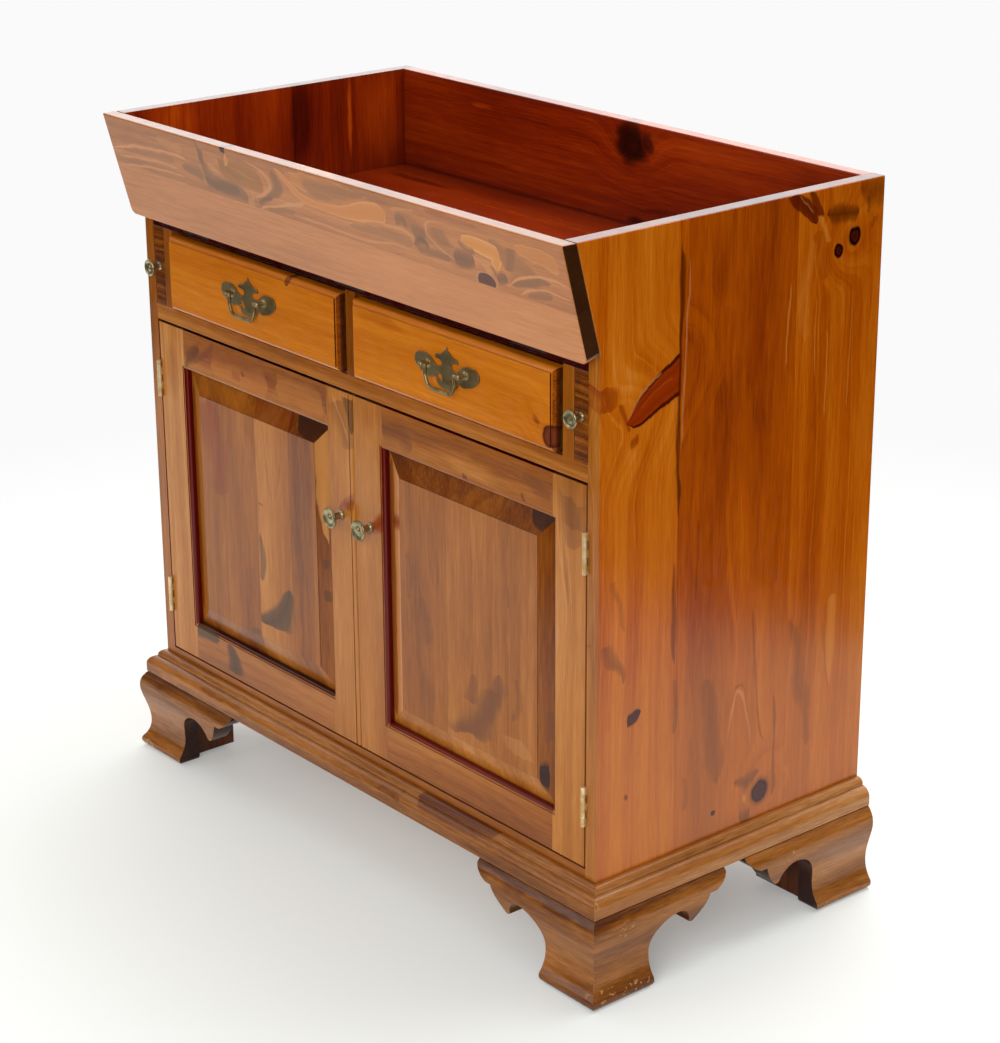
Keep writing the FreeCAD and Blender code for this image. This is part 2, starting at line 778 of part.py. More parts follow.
def drawer_front():
    level = drawer_face_y + drawer_lip_step
    solid = block(drawer_x0, drawer_x1, level, drawer_front_back, drawer_z0, drawer_z1)
    solid = rounded(solid, drawer_lip - 0.1, lambda edge: lies_at(edge, "y", level))
    field = block(drawer_x0 + drawer_lip, drawer_x1 - drawer_lip, drawer_face_y, level + cut_over,
                  drawer_z0 + drawer_lip, drawer_z1 - drawer_lip)
    solid = solid.fuse(field).removeSplitter()
    holes = post_holes(drawer_face_y, drawer_front_thickness)
    joints = [tail for span in side_spans() for tail in front_tails(span)]
    return cut(solid, joints + holes + [drawer_bottom_panel()])


def drawer_sides():
    solids = []
    for span in side_spans():
        base = block(span[0], span[1], drawer_front_back, drawer_back_y - drawer_side,
                     drawer_z0, drawer_z1 - drawer_side_drop)
        solid = base.multiFuse(front_tails(span) + rear_tails(span)).removeSplitter()
        solids.append(solid.cut(drawer_bottom_panel()))
    return solids


def drawer_back():
    z0 = drawer_z0 + drawer_bottom_height + drawer_bottom
    z1 = drawer_z1 - drawer_side_drop
    solid = block(drawer_x0, drawer_x1, drawer_back_y - drawer_side, drawer_back_y, z0, z1)
    return cut(solid, [tail for span in side_spans() for tail in rear_tails(span)])


# ---- pulls
def post_places():
    return [drawer_x - post_spacing / 2, drawer_x + post_spacing / 2]


def post_holes(y, depth):
    return [Part.makeCylinder(post_shank_radius, depth, V(x, y, pull_z), Y) for x in post_places()]


def pull_outline():
    """Batwing plate: a shield with a finial and hooked shoulders between two wings."""
    ends = [(0, -pull_bottom)] + [end for through, end in pull_half]
    back = [((-through[0], through[1]), (-end[0], end[1]))
            for (through, _), end in zip(reversed(pull_half), reversed(ends[:-1]))]
    return outline(in_xz, ends[0], *pull_half, *back)


def pull_plate_solid():
    """Plate with its two drop-shaped piercings and the holes of the posts."""
    tip, *round_end = pull_drop
    arcs = [(round_end[0], round_end[1]), (round_end[2], round_end[3]), (round_end[4], tip)]
    drop = outline(in_xz, tip, *arcs).extrude(Y * pull_plate)
    solid = cut(pull_outline().extrude(Y * pull_plate), both(drop))
    front = drawer_face_y - pull_plate
    return cut(moved(solid, drawer_x, front, pull_z), post_holes(front, pull_plate))


def pull_post(x):
    """Post with its bolt, a collar against the plate and a round end that holds the bail."""
    back = pull_plate + drawer_front_thickness - post_shank_short
    collar, neck = post_collar_radius, post_neck_radius
    tip_radius = post_radius * 0.6
    solid = lathe(V(x, drawer_face_y - pull_plate, pull_z), Y * -1, [
        (0, -back), (post_shank_radius, -back), (post_shank_radius, 0), (collar, 0),
        (collar * 0.9, post_collar_height * 0.6), (neck, post_collar_height),
        (neck, bail_axis_reach - post_radius * 1.25),
        ((post_radius * 1.2, bail_axis_reach), (tip_radius, post_reach - post_tip)),
        dome(tip_radius, post_reach - post_tip, post_reach)])
    hole = Part.makeCylinder(bail_pin_radius + bail_pin_gap, 4 * post_radius,
                             V(x - 2 * post_radius, bail_y, pull_z), X)
    return solid.cut(hole)


def pull():
    return [pull_plate_solid()] + [pull_post(x) for x in post_places()]


def bent_path(points, radius):
    """Straight runs joined by tangent arcs."""
    edges = []
    here = points[0]
    for before, corner, after in zip(points, points[1:], points[2:]):
        u = (before - corner).normalize()
        v = (after - corner).normalize()
        half = math.acos(u.dot(v)) / 2
        back = radius / math.tan(half)
        start, end = corner + u * back, corner + v * back
        middle = corner + (u + v).normalize() * (radius / math.sin(half) - radius)
        edges += [Part.makeLine(here, start), Part.Arc(start, middle, end).toShape()]
        here = end
    return Part.Wire(edges + [Part.makeLine(here, points[-1])])


def bail():
    """Swinging handle, hanging from its two pins."""
    arm = post_spacing / 2 - post_radius - bail_radius - 1.0
    low = -bail_drop + bail_radius
    points = [V(-arm, 0, 0), V(-arm, 0, low * 0.42), V(-arm * 0.78, 0, low), V(arm * 0.78, 0, low),
              V(arm, 0, low * 0.42), V(arm, 0, 0)]
    path = bent_path(points, arm * 0.32)
    section = Part.Wire(Part.makeCircle(bail_radius, points[0], Z))
    loop = path.makePipeShell([section], True, True)
    pin = Part.makeCylinder(bail_pin_radius, post_spacing / 2 + post_radius - arm, V(arm, 0, 0), X)
    ends = [Part.makeSphere(bail_radius * 1.25, V(side_of * arm, 0, 0)) for side_of in (-1, 1)]
    solid = loop.multiFuse(ends + both(pin)).removeSplitter()
    return moved(solid, drawer_x, bail_y, pull_z)


# ---- doors, shaped as the right one
def door_ring():
    """The whole frame, moulded and grooved round its opening."""
    ring = block(door_x0, door_x1, 0, door_thickness, door_z0, door_z1)
    ring = ring.cut(block(opening_x0, opening_x1, 0, door_thickness, opening_z0, opening_z1))
    ring = ring.cut(block(opening_x0 - sticking, opening_x1 + sticking, 0, sticking_step,
                          opening_z0 - sticking, opening_z1 + sticking))
    ring = rounded(ring, sticking - 0.4, lambda edge: lies_at(edge, "y", sticking_step)
                   and edge.BoundBox.XMin > opening_x0 - cut_over
                   and edge.BoundBox.XMax < opening_x1 + cut_over)
    groove = block(opening_x0 - panel_groove, opening_x1 + panel_groove, panel_front_depth,
                   panel_front_depth + panel_tongue, opening_z0 - panel_groove, opening_z1 + panel_groove)
    return ring.cut(groove)


def tenons():
    """Tenons of the two rails at the hinge stile and at the meeting stile."""
    y0 = panel_front_depth
    rails = [(door_z0 + tenon_shoulder, opening_z0 - panel_groove),
             (opening_z1 + panel_groove, door_z1 - tenon_shoulder)]
    ends = [(opening_x0 - tenon_length, opening_x0), (opening_x1, opening_x1 + tenon_length)]
    return [block(x0, x1, y0, y0 + tenon_thickness, z0, z1) for z0, z1 in rails for x0, x1 in ends]


def strike_plate():
    x0 = door_x0 + magnet_from_edge - strike_length / 2
    y0 = door_thickness - strike_thickness
    z1 = door_z1 - strike_below_top
    return block(x0, x0 + strike_length, y0, door_thickness, z1 - strike_height, z1)


def door_stiles(bead):
    """Meeting stile and hinge stile."""
    ring = door_ring()
    meeting = ring.common(block(door_x0, opening_x0, 0, door_thickness, door_z0, door_z1))
    hinged = ring.common(block(opening_x1, door_x1, 0, door_thickness, door_z0, door_z1))
    meeting = meeting.cut(knob_hole(knob_x, knob_height))
    if bead:
        groove_x = door_x0 + bead_width
        meeting = rounded(meeting, bead_round, lambda edge: lies_at(edge, "y", 0)
                          and lies_at(edge, "x", door_x0))
        meeting = meeting.cut(block(groove_x, groove_x + bead_groove, 0, bead_depth, door_z0, door_z1))
    seats = [door_hinge(z, "moving", seat=True) for z in door_hinge_heights()]
    return [cut(meeting, tenons()), cut(hinged, tenons() + seats)]


def door_rails():
    ring = door_ring()
    solids = []
    for z0, z1, ends in ((door_z0, opening_z0, tenons()[:2]), (opening_z1, door_z1, tenons()[2:])):
        rail = ring.common(block(opening_x0, opening_x1, 0, door_thickness, z0, z1))
        solids.append(rail.multiFuse(ends).removeSplitter().cut(strike_plate()))
    return solids


def rectangle_wire(inset, depth):
    x0, x1 = opening_x0 + inset, opening_x1 - inset
    z0, z1 = opening_z0 + inset, opening_z1 - inset
    corners = [(x0, z0), (x1, z0), (x1, z1), (x0, z1), (x0, z0)]
    return Part.makePolygon([V(x, depth, z) for x, z in corners])


def door_panel():
    """Raised panel: tongue in the groove, wide bevel and flat field."""
    grow = panel_groove - panel_play
    tongue_back = panel_front_depth + panel_tongue
    tongue_plate = block(opening_x0 - grow, opening_x1 + grow, panel_front_depth, tongue_back,
                         opening_z0 - grow, opening_z1 + grow)
    bevel_foot = rectangle_wire(panel_play, panel_front_depth)
    bevel_top = rectangle_wire(panel_bevel, field_depth + field_step)
    bevel = Part.makeLoft([bevel_foot, bevel_top], True, True)
    field = block(opening_x0 + panel_bevel, opening_x1 - panel_bevel, field_depth, panel_front_depth,
                  opening_z0 + panel_bevel, opening_z1 - panel_bevel)
    return tongue_plate.multiFuse([bevel, field]).removeSplitter()


def door_knob():
    return moved(knob(door_knob_diameter, door_knob_reach), knob_x, 0, knob_height)


# ---- the pieces as they are written
def put(name, solids):
    if not isinstance(solids, list):
        solids = [solids]
    placed = [moved(solid, 0, -origin_y, 0) for solid in solids]
    shape = placed[0] if len(placed) == 1 else Part.makeCompound(placed)
    shape.exportStep("parts/" + name + ".step")


def put_pair(name, right):
    """A right-hand piece and its mirror image, in two nodes."""
    if not isinstance(right, list):
        right = [right]
    put(name.replace("SIDE", "right"), right)
    put(name.replace("SIDE", "left"), [mirrored(solid) for solid in right])


def write_case():
    put_pair("side_SIDE", side())
    put("well_back", well_back())
    put("lower_back_panel", lower_back_panel())
    put("well_floor", well_floor())
    for name in ("bottom_board", "rail_front", "rail_back"):
        put(name, case_board(name))
    put("drawer_runners", drawer_runners())
    put("loper_dividers", both(loper_divider()))
    put("centre_divider", centre_divider())
    put("drawer_glides", drawer_glides())
    put("drawer_guides", drawer_guides())
    put("drawer_stops", drawer_stops())
    put("shelf", shelf())
    put("shelf_cleats", shelf_cleats())
    put("base_rails", base_rails())
    put("door_catches", door_catches())
    put("fall_catches", both(fall_catch()))


def write_base():
    put("moulding_front", moulding_front())
    put("mouldings_side", both(moulding_side()))
    put_pair("foot_front_SIDE", front_foot())
    put_pair("foot_rear_SIDE", rear_foot())
    put("foot_blocks", foot_blocks())


def write_hinges():
    heights = door_hinge_heights()
    put("door_hinge_case_leaves", [leaf for z in heights for leaf in both(door_hinge(z, "fixed"))])
    put("door_hinge_pins", [pin for z in heights for pin in both(door_hinge(z, "pin"))])
    put_pair("door_SIDE_hinge_leaves", [door_hinge(z, "moving") for z in heights])
    put("fall_hinge_case_leaves", [fall_hinge(x, "fixed") for x in fall_hinge_places()])
    put("fall_hinge_pins", [fall_hinge(x, "pin") for x in fall_hinge_places()])
    put("fall_hinge_leaves", [closed(fall_hinge(x, "moving")) for x in fall_hinge_places()])


def write_moving():
    put("fall_board", fall_board())
    put_pair("loper_SIDE", loper())
    put_pair("loper_knob_SIDE", loper_knob())
    put_pair("drawer_SIDE_front", drawer_front())
    put_pair("drawer_SIDE_sides", drawer_sides())
    put_pair("drawer_SIDE_back", drawer_back())
    put_pair("drawer_SIDE_bottom", drawer_bottom_panel())
    put_pair("drawer_SIDE_pull", pull())
    put_pair("drawer_SIDE_bail", bail())
    put("door_right_stiles", door_stiles(bead=False))
    put("door_left_stiles", [mirrored(solid) for solid in door_stiles(bead=True)])
    put_pair("door_SIDE_rails", door_rails())
    put_pair("door_SIDE_panel", door_panel())
    put_pair("door_SIDE_knob", door_knob())
    put_pair("door_SIDE_strike", strike_plate())


os.makedirs("parts", exist_ok=True)
write_case()
write_base()
write_hinges()
write_moving()
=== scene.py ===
import bpy
import json
import math
from mathutils import Matrix, Vector

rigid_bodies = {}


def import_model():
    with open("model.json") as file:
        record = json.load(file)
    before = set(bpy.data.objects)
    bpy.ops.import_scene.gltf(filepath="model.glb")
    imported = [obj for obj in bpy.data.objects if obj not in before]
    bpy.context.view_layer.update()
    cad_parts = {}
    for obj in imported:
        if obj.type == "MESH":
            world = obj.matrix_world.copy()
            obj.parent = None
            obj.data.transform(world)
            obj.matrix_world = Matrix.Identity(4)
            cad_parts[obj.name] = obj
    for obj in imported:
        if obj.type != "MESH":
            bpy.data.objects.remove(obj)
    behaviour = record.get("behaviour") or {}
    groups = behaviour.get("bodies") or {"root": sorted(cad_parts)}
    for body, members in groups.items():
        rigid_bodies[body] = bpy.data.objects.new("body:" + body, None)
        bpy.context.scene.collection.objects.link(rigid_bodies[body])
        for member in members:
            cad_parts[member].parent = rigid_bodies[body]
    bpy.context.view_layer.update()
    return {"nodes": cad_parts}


# A pine dry sink cabinet in a plain white studio. Metres; sizes in the dictionaries are millimetres,
# where their notes don't say otherwise.
mm = 0.001
paleWhite = (1.0, 1.0, 1.0, 1.0)

for leftover in list(bpy.data.objects):
    bpy.data.objects.remove(leftover)

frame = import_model()
nodes = frame["nodes"]
print("frame loaded:", len(nodes), "nodes")


def linearColour(hexText):  # sRGB hex to the linear values that shaders take
    channels = [int(hexText[i:i + 2], 16) / 255 for i in (1, 3, 5)]
    return [c / 12.92 if c <= 0.04045 else ((c + 0.055) / 1.055) ** 2.4 for c in channels] + [1.0]


def inRadians(degrees):
    return [math.radians(angle) for angle in degrees]


# A kind can name its operation too. An input is a value, a socket, or a node for its first output in use.
def addNode(tree, kind, inputs=None, **settings):
    kind, *operation = kind.split()
    node = tree.nodes.new("ShaderNode" + kind)
    if operation:
        node.operation = operation[0]
    for name, value in settings.items():
        setattr(node, name, value)
    for key, value in (inputs or {}).items():
        if isinstance(value, bpy.types.Node):
            value = next(output for output in value.outputs if output.enabled)
        if isinstance(value, bpy.types.NodeSocket):
            tree.links.new(value, node.inputs[key])
        else:
            node.inputs[key].default_value = value
    return node


def levels(tree, value, start, end, first, last):   # first to last, as the value goes from start to end
    run = addNode(tree, "MapRange", {0: value, 1: start, 2: end, 3: first, 4: last}, clamp=False)
    return addNode(tree, "Clamp", {0: run, 1: min(first, last), 2: max(first, last)})


def roundEdges(tree, radius, start, full, depth):   # softened edges, and how far each place on them is rubbed
    softEdge = addNode(tree, "Bevel", {"Radius": radius * mm}, samples=4)
    flat = addNode(tree, "NewGeometry").outputs["Normal"]
    agree = addNode(tree, "VectorMath DOT_PRODUCT", {0: softEdge, 1: flat})
    return softEdge, levels(tree, agree, start, full, 0.0, depth)


def hollowGrimeAndShade(tree, colour, hexText, reach, full, end, depth):   # darker in crevices: painted shade on the wood, grime on the metal
    hollow = addNode(tree, "AmbientOcclusion", {"Distance": reach * mm}, samples=6).outputs["AO"]
    grimeAndShade = levels(tree, hollow, full, end, depth, 0.0)
    return addNode(tree, "Mix", {0: grimeAndShade, 6: colour, 7: linearColour(hexText)}, data_type="RGBA")


def newMaterial(name):
    material = bpy.data.materials.new(name)
    material.use_nodes = True
    material.node_tree.nodes.clear()
    return material, material.node_tree


def dress(nodeName, material):
    slots = nodes[nodeName].data.materials
    slots.clear()
    slots.append(material)


# camera
cameraSetup = {
    "place": (2.4700, -2.0113, 1.6099),   # metres
    "turn": 50.28,     # degrees from +Y towards -X
    "down": 20.49,
    "roll": -0.30,
    "lens": 91.23,
    "sensor": 36.0,
    "sees": 60.0,      # metres
}


def setCamera(setup):
    data = bpy.data.cameras.new("camera")
    data.lens = setup["lens"]
    data.sensor_width = setup["sensor"]
    data.clip_end = setup["sees"]
    camera = bpy.data.objects.new("camera", data)
    bpy.context.scene.collection.objects.link(camera)
    turn = Matrix.Rotation(math.radians(setup["turn"]), 4, "Z")
    tip = Matrix.Rotation(math.radians(90 - setup["down"]), 4, "X")
    roll = Matrix.Rotation(math.radians(setup["roll"]), 4, "Z")
    camera.matrix_world = Matrix.Translation(setup["place"]) @ turn @ tip @ roll
    bpy.context.scene.camera = camera


setCamera(cameraSetup)

# studio
studio = {                     # metres; past the paper's outline the dark room begins
    "paper": [(-3.2, -1.22), (1.75, -1.22), (1.75, 0.44), (0.6, 1.0), (0.6, 3.6), (-3.2, 3.6)],
    "paperColour": "#eef2ee",
    "whiteFrom": 0.75,         # from the middle: here the paper starts to melt into white
    "whiteTo": 1.9,
    "whiteNear": 0.22,         # share of white right beside the cabinet
    "white": 0.955,
    "roomBelow": 0.0,          # light from below the horizon, past the paper
    "roomFront": 0.07,         # from the side of the camera
    "roomAbove": 0.62,
    "roomTop": 0.9,            # height of the look, 1 straight up, at which the light is that of above
    "horizon": (-0.03, 0.02),
    "wallGlow": 2.1,           # lit backdrop behind the cabinet, to the left
    "wallWay": (-0.72, 0.62, 0.30),
    "wallEdge": (0.35, 0.95),  # cosines off that way where the glow begins and is full
}


def setWorld(look):
    world = bpy.data.worlds.new("studio room")
    bpy.context.scene.world = world
    world.use_nodes = True
    tree = world.node_tree
    tree.nodes.clear()
    way = addNode(tree, "TexCoord").outputs["Generated"]
    height = addNode(tree, "SeparateXYZ", {0: way}).outputs[2]
    above = addNode(tree, "MapRange", {0: height, 1: 0.0, 2: look["roomTop"], 3: look["roomFront"],
                                       4: look["roomAbove"]}, interpolation_type="SMOOTHSTEP", clamp=False)
    facing = addNode(tree, "VectorMath DOT_PRODUCT", {0: way, 1: Vector(look["wallWay"]).normalized()})
    edge, full = look["wallEdge"]
    wall = addNode(tree, "MapRange", {0: facing, 1: edge, 2: full, 3: 0.0, 4: look["wallGlow"]},
                   interpolation_type="SMOOTHSTEP", clamp=False)
    light = addNode(tree, "Math ADD", {0: above, 1: wall})
    horizon = levels(tree, height, *look["horizon"], 0.0, 1.0)
    room = addNode(tree, "Mix", {0: horizon, 2: look["roomBelow"], 3: light})
    eye = addNode(tree, "LightPath").outputs["Is Camera Ray"]
    strength = addNode(tree, "Mix", {0: eye, 2: room, 3: look["white"]})
    background = addNode(tree, "Background", {"Color": paleWhite, "Strength": strength})
    output = addNode(tree, "OutputWorld", {0: background})
    output.is_active_output = True


def layPaper(look):
    mesh = bpy.data.meshes.new("paper")
    mesh.from_pydata([(x, y, 0.0) for x, y in look["paper"]], [], [range(len(look["paper"]))])
    paper = bpy.data.objects.new("paper", mesh)
    bpy.context.scene.collection.objects.link(paper)
    material, tree = newMaterial("white paper, matte")
    place = addNode(tree, "TexCoord").outputs["Object"]
    far = addNode(tree, "VectorMath LENGTH", {0: place})
    fade = addNode(tree, "MapRange", {0: far, 1: look["whiteFrom"], 2: look["whiteTo"],
                                      3: look["whiteNear"], 4: 1.0},
                   interpolation_type="SMOOTHSTEP", clamp=False)
    eye = addNode(tree, "LightPath").outputs["Is Camera Ray"]
    share = addNode(tree, "Math MULTIPLY", {0: fade, 1: eye})
    lit = addNode(tree, "BsdfDiffuse", {"Color": linearColour(look["paperColour"])})
    white = addNode(tree, "Emission", {"Color": paleWhite, "Strength": look["white"]})
    mixed = addNode(tree, "MixShader", {0: share, 1: lit, 2: white})
    addNode(tree, "OutputMaterial", {0: mixed})
    mesh.materials.append(material)


lamps = {                      # metres and watts
    "key": {"place": (0.45, 1.0, 2.9), "aim": (0.1, 0.0, 0.3), "size": 1.6, "power": 36.0},
    "fill": {"place": (2.3, -3.1, 1.9), "aim": (0.0, 0.0, 0.45), "size": 2.2, "power": 84.0},
    "left": {"place": (-1.6, -2.9, 1.5), "aim": (-0.2, 0.0, 0.4), "size": 1.6, "power": 15.0},
}


def hangLamps(table):
    for name, lamp in table.items():
        data = bpy.data.lights.new(name, "AREA")
        data.size = lamp["size"]
        data.energy = lamp["power"]
        light = bpy.data.objects.new(name, data)
        bpy.context.scene.collection.objects.link(light)
        light.location = lamp["place"]
        way = Vector(lamp["aim"]) - Vector(lamp["place"])
        light.rotation_euler = way.to_track_quat("-Z", "Y").to_euler()


bpy.context.scene.view_settings.view_transform = "Standard"
setWorld(studio)
layPaper(studio)
hangLamps(lamps)
print("studio ready")

# stained pine
# Knotty pine under an oil stain and a satin varnish. The soft spring wood drinks the stain and goes
# brown-orange, the hard summer wood stays as thin pale lines, and the varnish gives a soft reflection.
stains = {                     # palest wood first, darkest last
    "case": ["#e39a4a", "#d27212", "#b65202", "#883202", "#3a1002"],
    "well": ["#c2560a", "#9c3604", "#7c2102", "#521002", "#200402"],
    "drawers": ["#e8a350", "#d17a18", "#b96006", "#7e3804", "#3c1404"],
    "doors": ["#cf9458", "#b8722a", "#98530c", "#6c3204", "#341404"],
    "fall": ["#dc9a5c", "#cc8148", "#b16b35", "#865432", "#4a2410"],
    "base": ["#c08a55", "#a4662c", "#80480f", "#552704", "#260e02"],
    "plain": ["#ecc893", "#deb379", "#cd9c60", "#a87342", "#6d4323"],
    # the darkest red: old polish in the doors' sticking, and painted shadow on the well floor's front edge
    "oldPolishAndShadow": ["#8a2606", "#701202", "#5a0400", "#3c0200", "#180000"],
}
stainedPine = {
    "stain": "case",
    "grain": "z",              # the way the fibres run
    "corner": None,            # (way, place) past this plane they run along y: brackets mitred at a corner
    "heart": (0, 60, 0),       # a point on the heart of the tree, in the grain's own directions
    "lean": (1.2, 0.8),        # degrees between the heart and the board
    "year": 9.0,               # width of a year's growth
    "sway": (5.0, 120, 480),   # how far the rings wander, and over what size across and along
    "tone": 0.45,
    "yearDepth": 0.07,         # each depth is a change of tone
    "yearCurve": 2.5,          # how late in the year the wood gets dark
    "lineDepth": 0.14,
    "line": (0.80, 0.97),      # parts of the year at which the pale line begins and is full
    "lineShows": (0.17, 0.36),   # strength of a year at which its line begins to show and is full
    "figure": [(150, 560, 0.10), (40, 420, 0.05), (8, 160, 0.035), (1.8, 34, 0.07)],  # across, along, depth
    "faces": [],               # (way, from, stain, tone) of the faces that took another stain, or that are painted lighter or darker as light and shade
    "endTone": "#2c1006",
    "endDepth": 0.7,
    "endCut": (0.8, 0.95),     # cosines between face and fibres where end grain begins and is full
    # colour, depth and reach of the painted shade that darkens crevices
    "crevice": "#240a03",
    "creviceDepth": 0.55,
    "creviceReach": (6, 0.25, 0.75),   # how far, and the open shares where it is full and ends
    "wear": ("#c9a070", 0.18),
    "edge": 0.9,               # radius of the softened edges
    "edgeWear": (0.99, 0.80),  # cosines between face and softened edge where wear begins and is full
    "wearPatches": (0.45, 0.62, 0.15),   # noise where wear begins and is full, and the least share
    "patchScale": 60.0,        # patches of wear and of varnish per metre
    "rough": (0.15, 0.25),
    "bump": (0.10, 0.3),       # strength, height
    "glue": [],                # joints between the boards
    "seam": (0.2, 1.2, 0.2),   # distances where a joint's dark line is full and ends, and its depth
    "marks": [],
    "plane": (0, 2, (0, 0, 0)),  # axes and starting corner of the strokes' places on the board
    "tilt": None,
    "seed": 0.0,
}
grainTurn = {"z": (0, 0, 0), "x": (0, -90, 0), "y": (90, 0, 0)}
grainWay = {"z": (0, 0, 1), "x": (1, 0, 0), "y": (0, 1, 0)}
noiseLow, noiseHigh = 0.3, 0.7       # most of a noise lies between these
swayGain = 5                         # a noise seldom strays further than a fifth from its middle
seedStep = (0.37, 0.11, 0.23)        # metres in the tree between one seed and the next
yearWaves = 0.47                     # waves per year in the strength of the lines
fadeWaves = (22.0, 22.0, 4.0)        # waves per metre in it
fibreWarp = 0.3
wobbles = {                          # of the marks' outlines: waves per metre, and their reach
    "fine": ((120.0, 120.0, 34.0), 5), "soft": ((26.0, 26.0, 16.0), 36)}
strokeShape = {
    "tip": 0.02,               # half width at the ends
    "taper": 0.06,             # share of the length
    "steepest": 2.5,           # slanting parts are widened by this at most
}
spotCore = 0.3                 # inside this a toned spot has its full tone
# colours from the middle of a mark outwards: (distance, colour, cover); 1 is the mark's own edge
knotColours = {
    "knot": [(0.0, "#3a0c02", 1), (0.5, "#4a1404", 1), (0.75, "#260602", 1), (0.95, "#180301", 1),
             (1.08, "#7a3006", 0.7), (1.3, "#c26a14", 0.35), (1.7, "#b86010", 0)],
    "darkKnot": [(0.0, "#2a0402", 1), (0.55, "#1c0201", 1), (0.85, "#2c0602", 0.95), (1.05, "#480c02", 0.75),
                 (1.4, "#5a1402", 0)],
    "redKnot": [(0.0, "#6c3418", 1), (0.55, "#703016", 1), (0.85, "#5a200a", 1), (0.98, "#3c1004", 0.9),
                (1.08, "#9a4c08", 0.5), (1.3, "#c06c14", 0)],
    "spike": [(0.0, "#9a3202", 1), (0.45, "#8c2a02", 1), (0.70, "#963404", 1), (0.80, "#5c1402", 1),
              (0.95, "#400c02", 1), (1.02, "#b4600c", 0.5), (1.15, "#c86808", 0)],
    "greyKnot": [(0.0, "#461008", 1), (0.6, "#4c1408", 1), (0.92, "#300a04", 1), (1.1, "#6a3410", 0.6),
                 (1.5, "#7a4416", 0)],
    "blueKnot": [(0.0, "#2a1410", 1), (0.6, "#34140a", 1), (0.9, "#260e08", 0.95), (1.15, "#4a2408", 0.6),
                 (1.6, "#5a3008", 0)],
    "band": [(0.0, "#cc7c32", 0.95), (0.7, "#cd8038", 0.92), (0.88, "#dc9352", 0.95), (1.0, "#c88044", 0.3),
             (1.1, "#b87440", 0)],
    "eye": [(0.0, "#d08236", 0.97), (0.7, "#d68a3e", 0.97), (0.9, "#e09c58", 0.97), (1.0, "#d89458", 0.5),
            (1.08, "#8a5834", 0.3), (1.3, "#8c5a34", 0)],
    "fallKnot": [(0.0, "#562208", 1), (0.7, "#5c260a", 1), (0.95, "#461a06", 0.95), (1.05, "#c08454", 0.8),
                 (1.25, "#b87a48", 0)],
}
# the colour of a soft mark, its cover in the middle, and its cover at a distance; at 1 it has faded away
softColours = {
    "rust": ("#842402", 0.8, 0.6, 0.6), "feather": ("#601602", 0.95, 0.85, 0.75),
    "shade": ("#642e08", 0.75, 0.55, 0.5), "streak": ("#4e1a02", 0.9, 0.6, 0.6),
    "grey": ("#8a5830", 0.92, 0.8, 0.55), "greyCore": ("#7a4c2c", 0.9, 0.7, 0.6),
    "lobe": ("#9c5e1a", 0.85, 0.7, 0.7), "vein": ("#d08a52", 0.95, 0.8, 0.45),
    "darkGrey": ("#4c2c10", 0.95, 0.82, 0.6), "ink": ("#361806", 0.95, 0.85, 0.8),
    "purple": ("#6c3816", 0.95, 0.68, 0.5), "glow": ("#d88430", 0.7, 0.5, 0.5),
    "wash": ("#d0843c", 0.5, 0.38, 0.6), "pale": ("#cc8a4a", 0.9, 0.7, 0.7),
    "bleach": ("#c48038", 1, 0.8, 0.6), "stick": ("#5c0200", 1, 1, 0.9),
    "chips": ("#b98c58", 0.9, 0.8, 0.7),
}
speckEdge = (0.57, 0.64)       # of the noise that makes specks of bare wood
rampScale = 0.5                # a ramp ends at 1, and knots reach further than that


def followCurve(tree, value, points):   # a smooth curve through the points, level past its ends
    node = addNode(tree, "FloatCurve", {"Value": value})
    node.mapping.use_clip = False
    node.mapping.extend = "HORIZONTAL"
    curve = node.mapping.curves[0]
    curve.points[0].location, curve.points[1].location = points[0], points[-1]
    for point in points[1:-1]:
        curve.points.new(*point)
    for point in curve.points:
        point.handle_type = "AUTO_CLAMPED"
    node.mapping.update()
    return node


def awayFromPath(tree, spots, path):   # 0 along the middle of a stroke, 1 at its edge
    spans = [abs(path[-1][axis] - path[0][axis]) for axis in (0, 1)]
    runs = [axis for axis in (0, 1) if len({a[axis] < b[axis] for a, b in zip(path, path[1:])}) == 1]
    axis = max(runs, key=lambda each: spans[each])
    path = sorted(path, key=lambda point: point[axis])
    first, span = path[0][axis], path[-1][axis] - path[0][axis]
    shares = [(point[axis] - first) / span for point in path]
    steeps = []
    for index in range(len(path)):
        before, after = path[max(index - 1, 0)], path[min(index + 1, len(path) - 1)]
        slope = (after[1 - axis] - before[1 - axis]) / (after[axis] - before[axis])
        steeps.append(min(math.hypot(1, slope), strokeShape["steepest"]))
    halves = [point[2] * steep * mm for point, steep in zip(path, steeps)]
    tip, taper = strokeShape["tip"] * mm, min(strokeShape["taper"], shares[1] / 2)
    share = addNode(tree, "Math MULTIPLY_ADD", {0: spots[axis], 1: 1 / (span * mm), 2: -first / span})
    middle = followCurve(tree, share, [(where, point[1 - axis] * mm) for where, point in zip(shares, path)])
    half = followCurve(tree, share, [(0, tip), (taper, halves[0]), *zip(shares[1:-1], halves[1:-1]),
                                     (1 - taper, halves[-1]), (1, tip)])
    off = addNode(tree, "Math SUBTRACT", {0: spots[1 - axis], 1: middle})
    off = addNode(tree, "Math ABSOLUTE", {0: off})
    return addNode(tree, "Math DIVIDE", {0: off, 1: half})


def awayFromSpot(tree, place, mark):   # 0 in the middle of an oval, 1 at its edge
    spot = addNode(tree, "Mapping", {
        "Vector": place, "Location": Vector(mark["at"]) * mm, "Scale": Vector(mark["size"]) * mm,
        "Rotation": inRadians(mark.get("turn", (0, 0, 0)))}, vector_type="TEXTURE")
    return addNode(tree, "VectorMath LENGTH", {0: spot})


def facesWay(tree, normal, way, start=0.11, blend=0.1):   # 1 on faces that look this way, by their cosine
    facing = addNode(tree, "VectorMath DOT_PRODUCT", {0: normal, 1: way})
    return levels(tree, facing, start, start + blend, 0.0, 1.0)


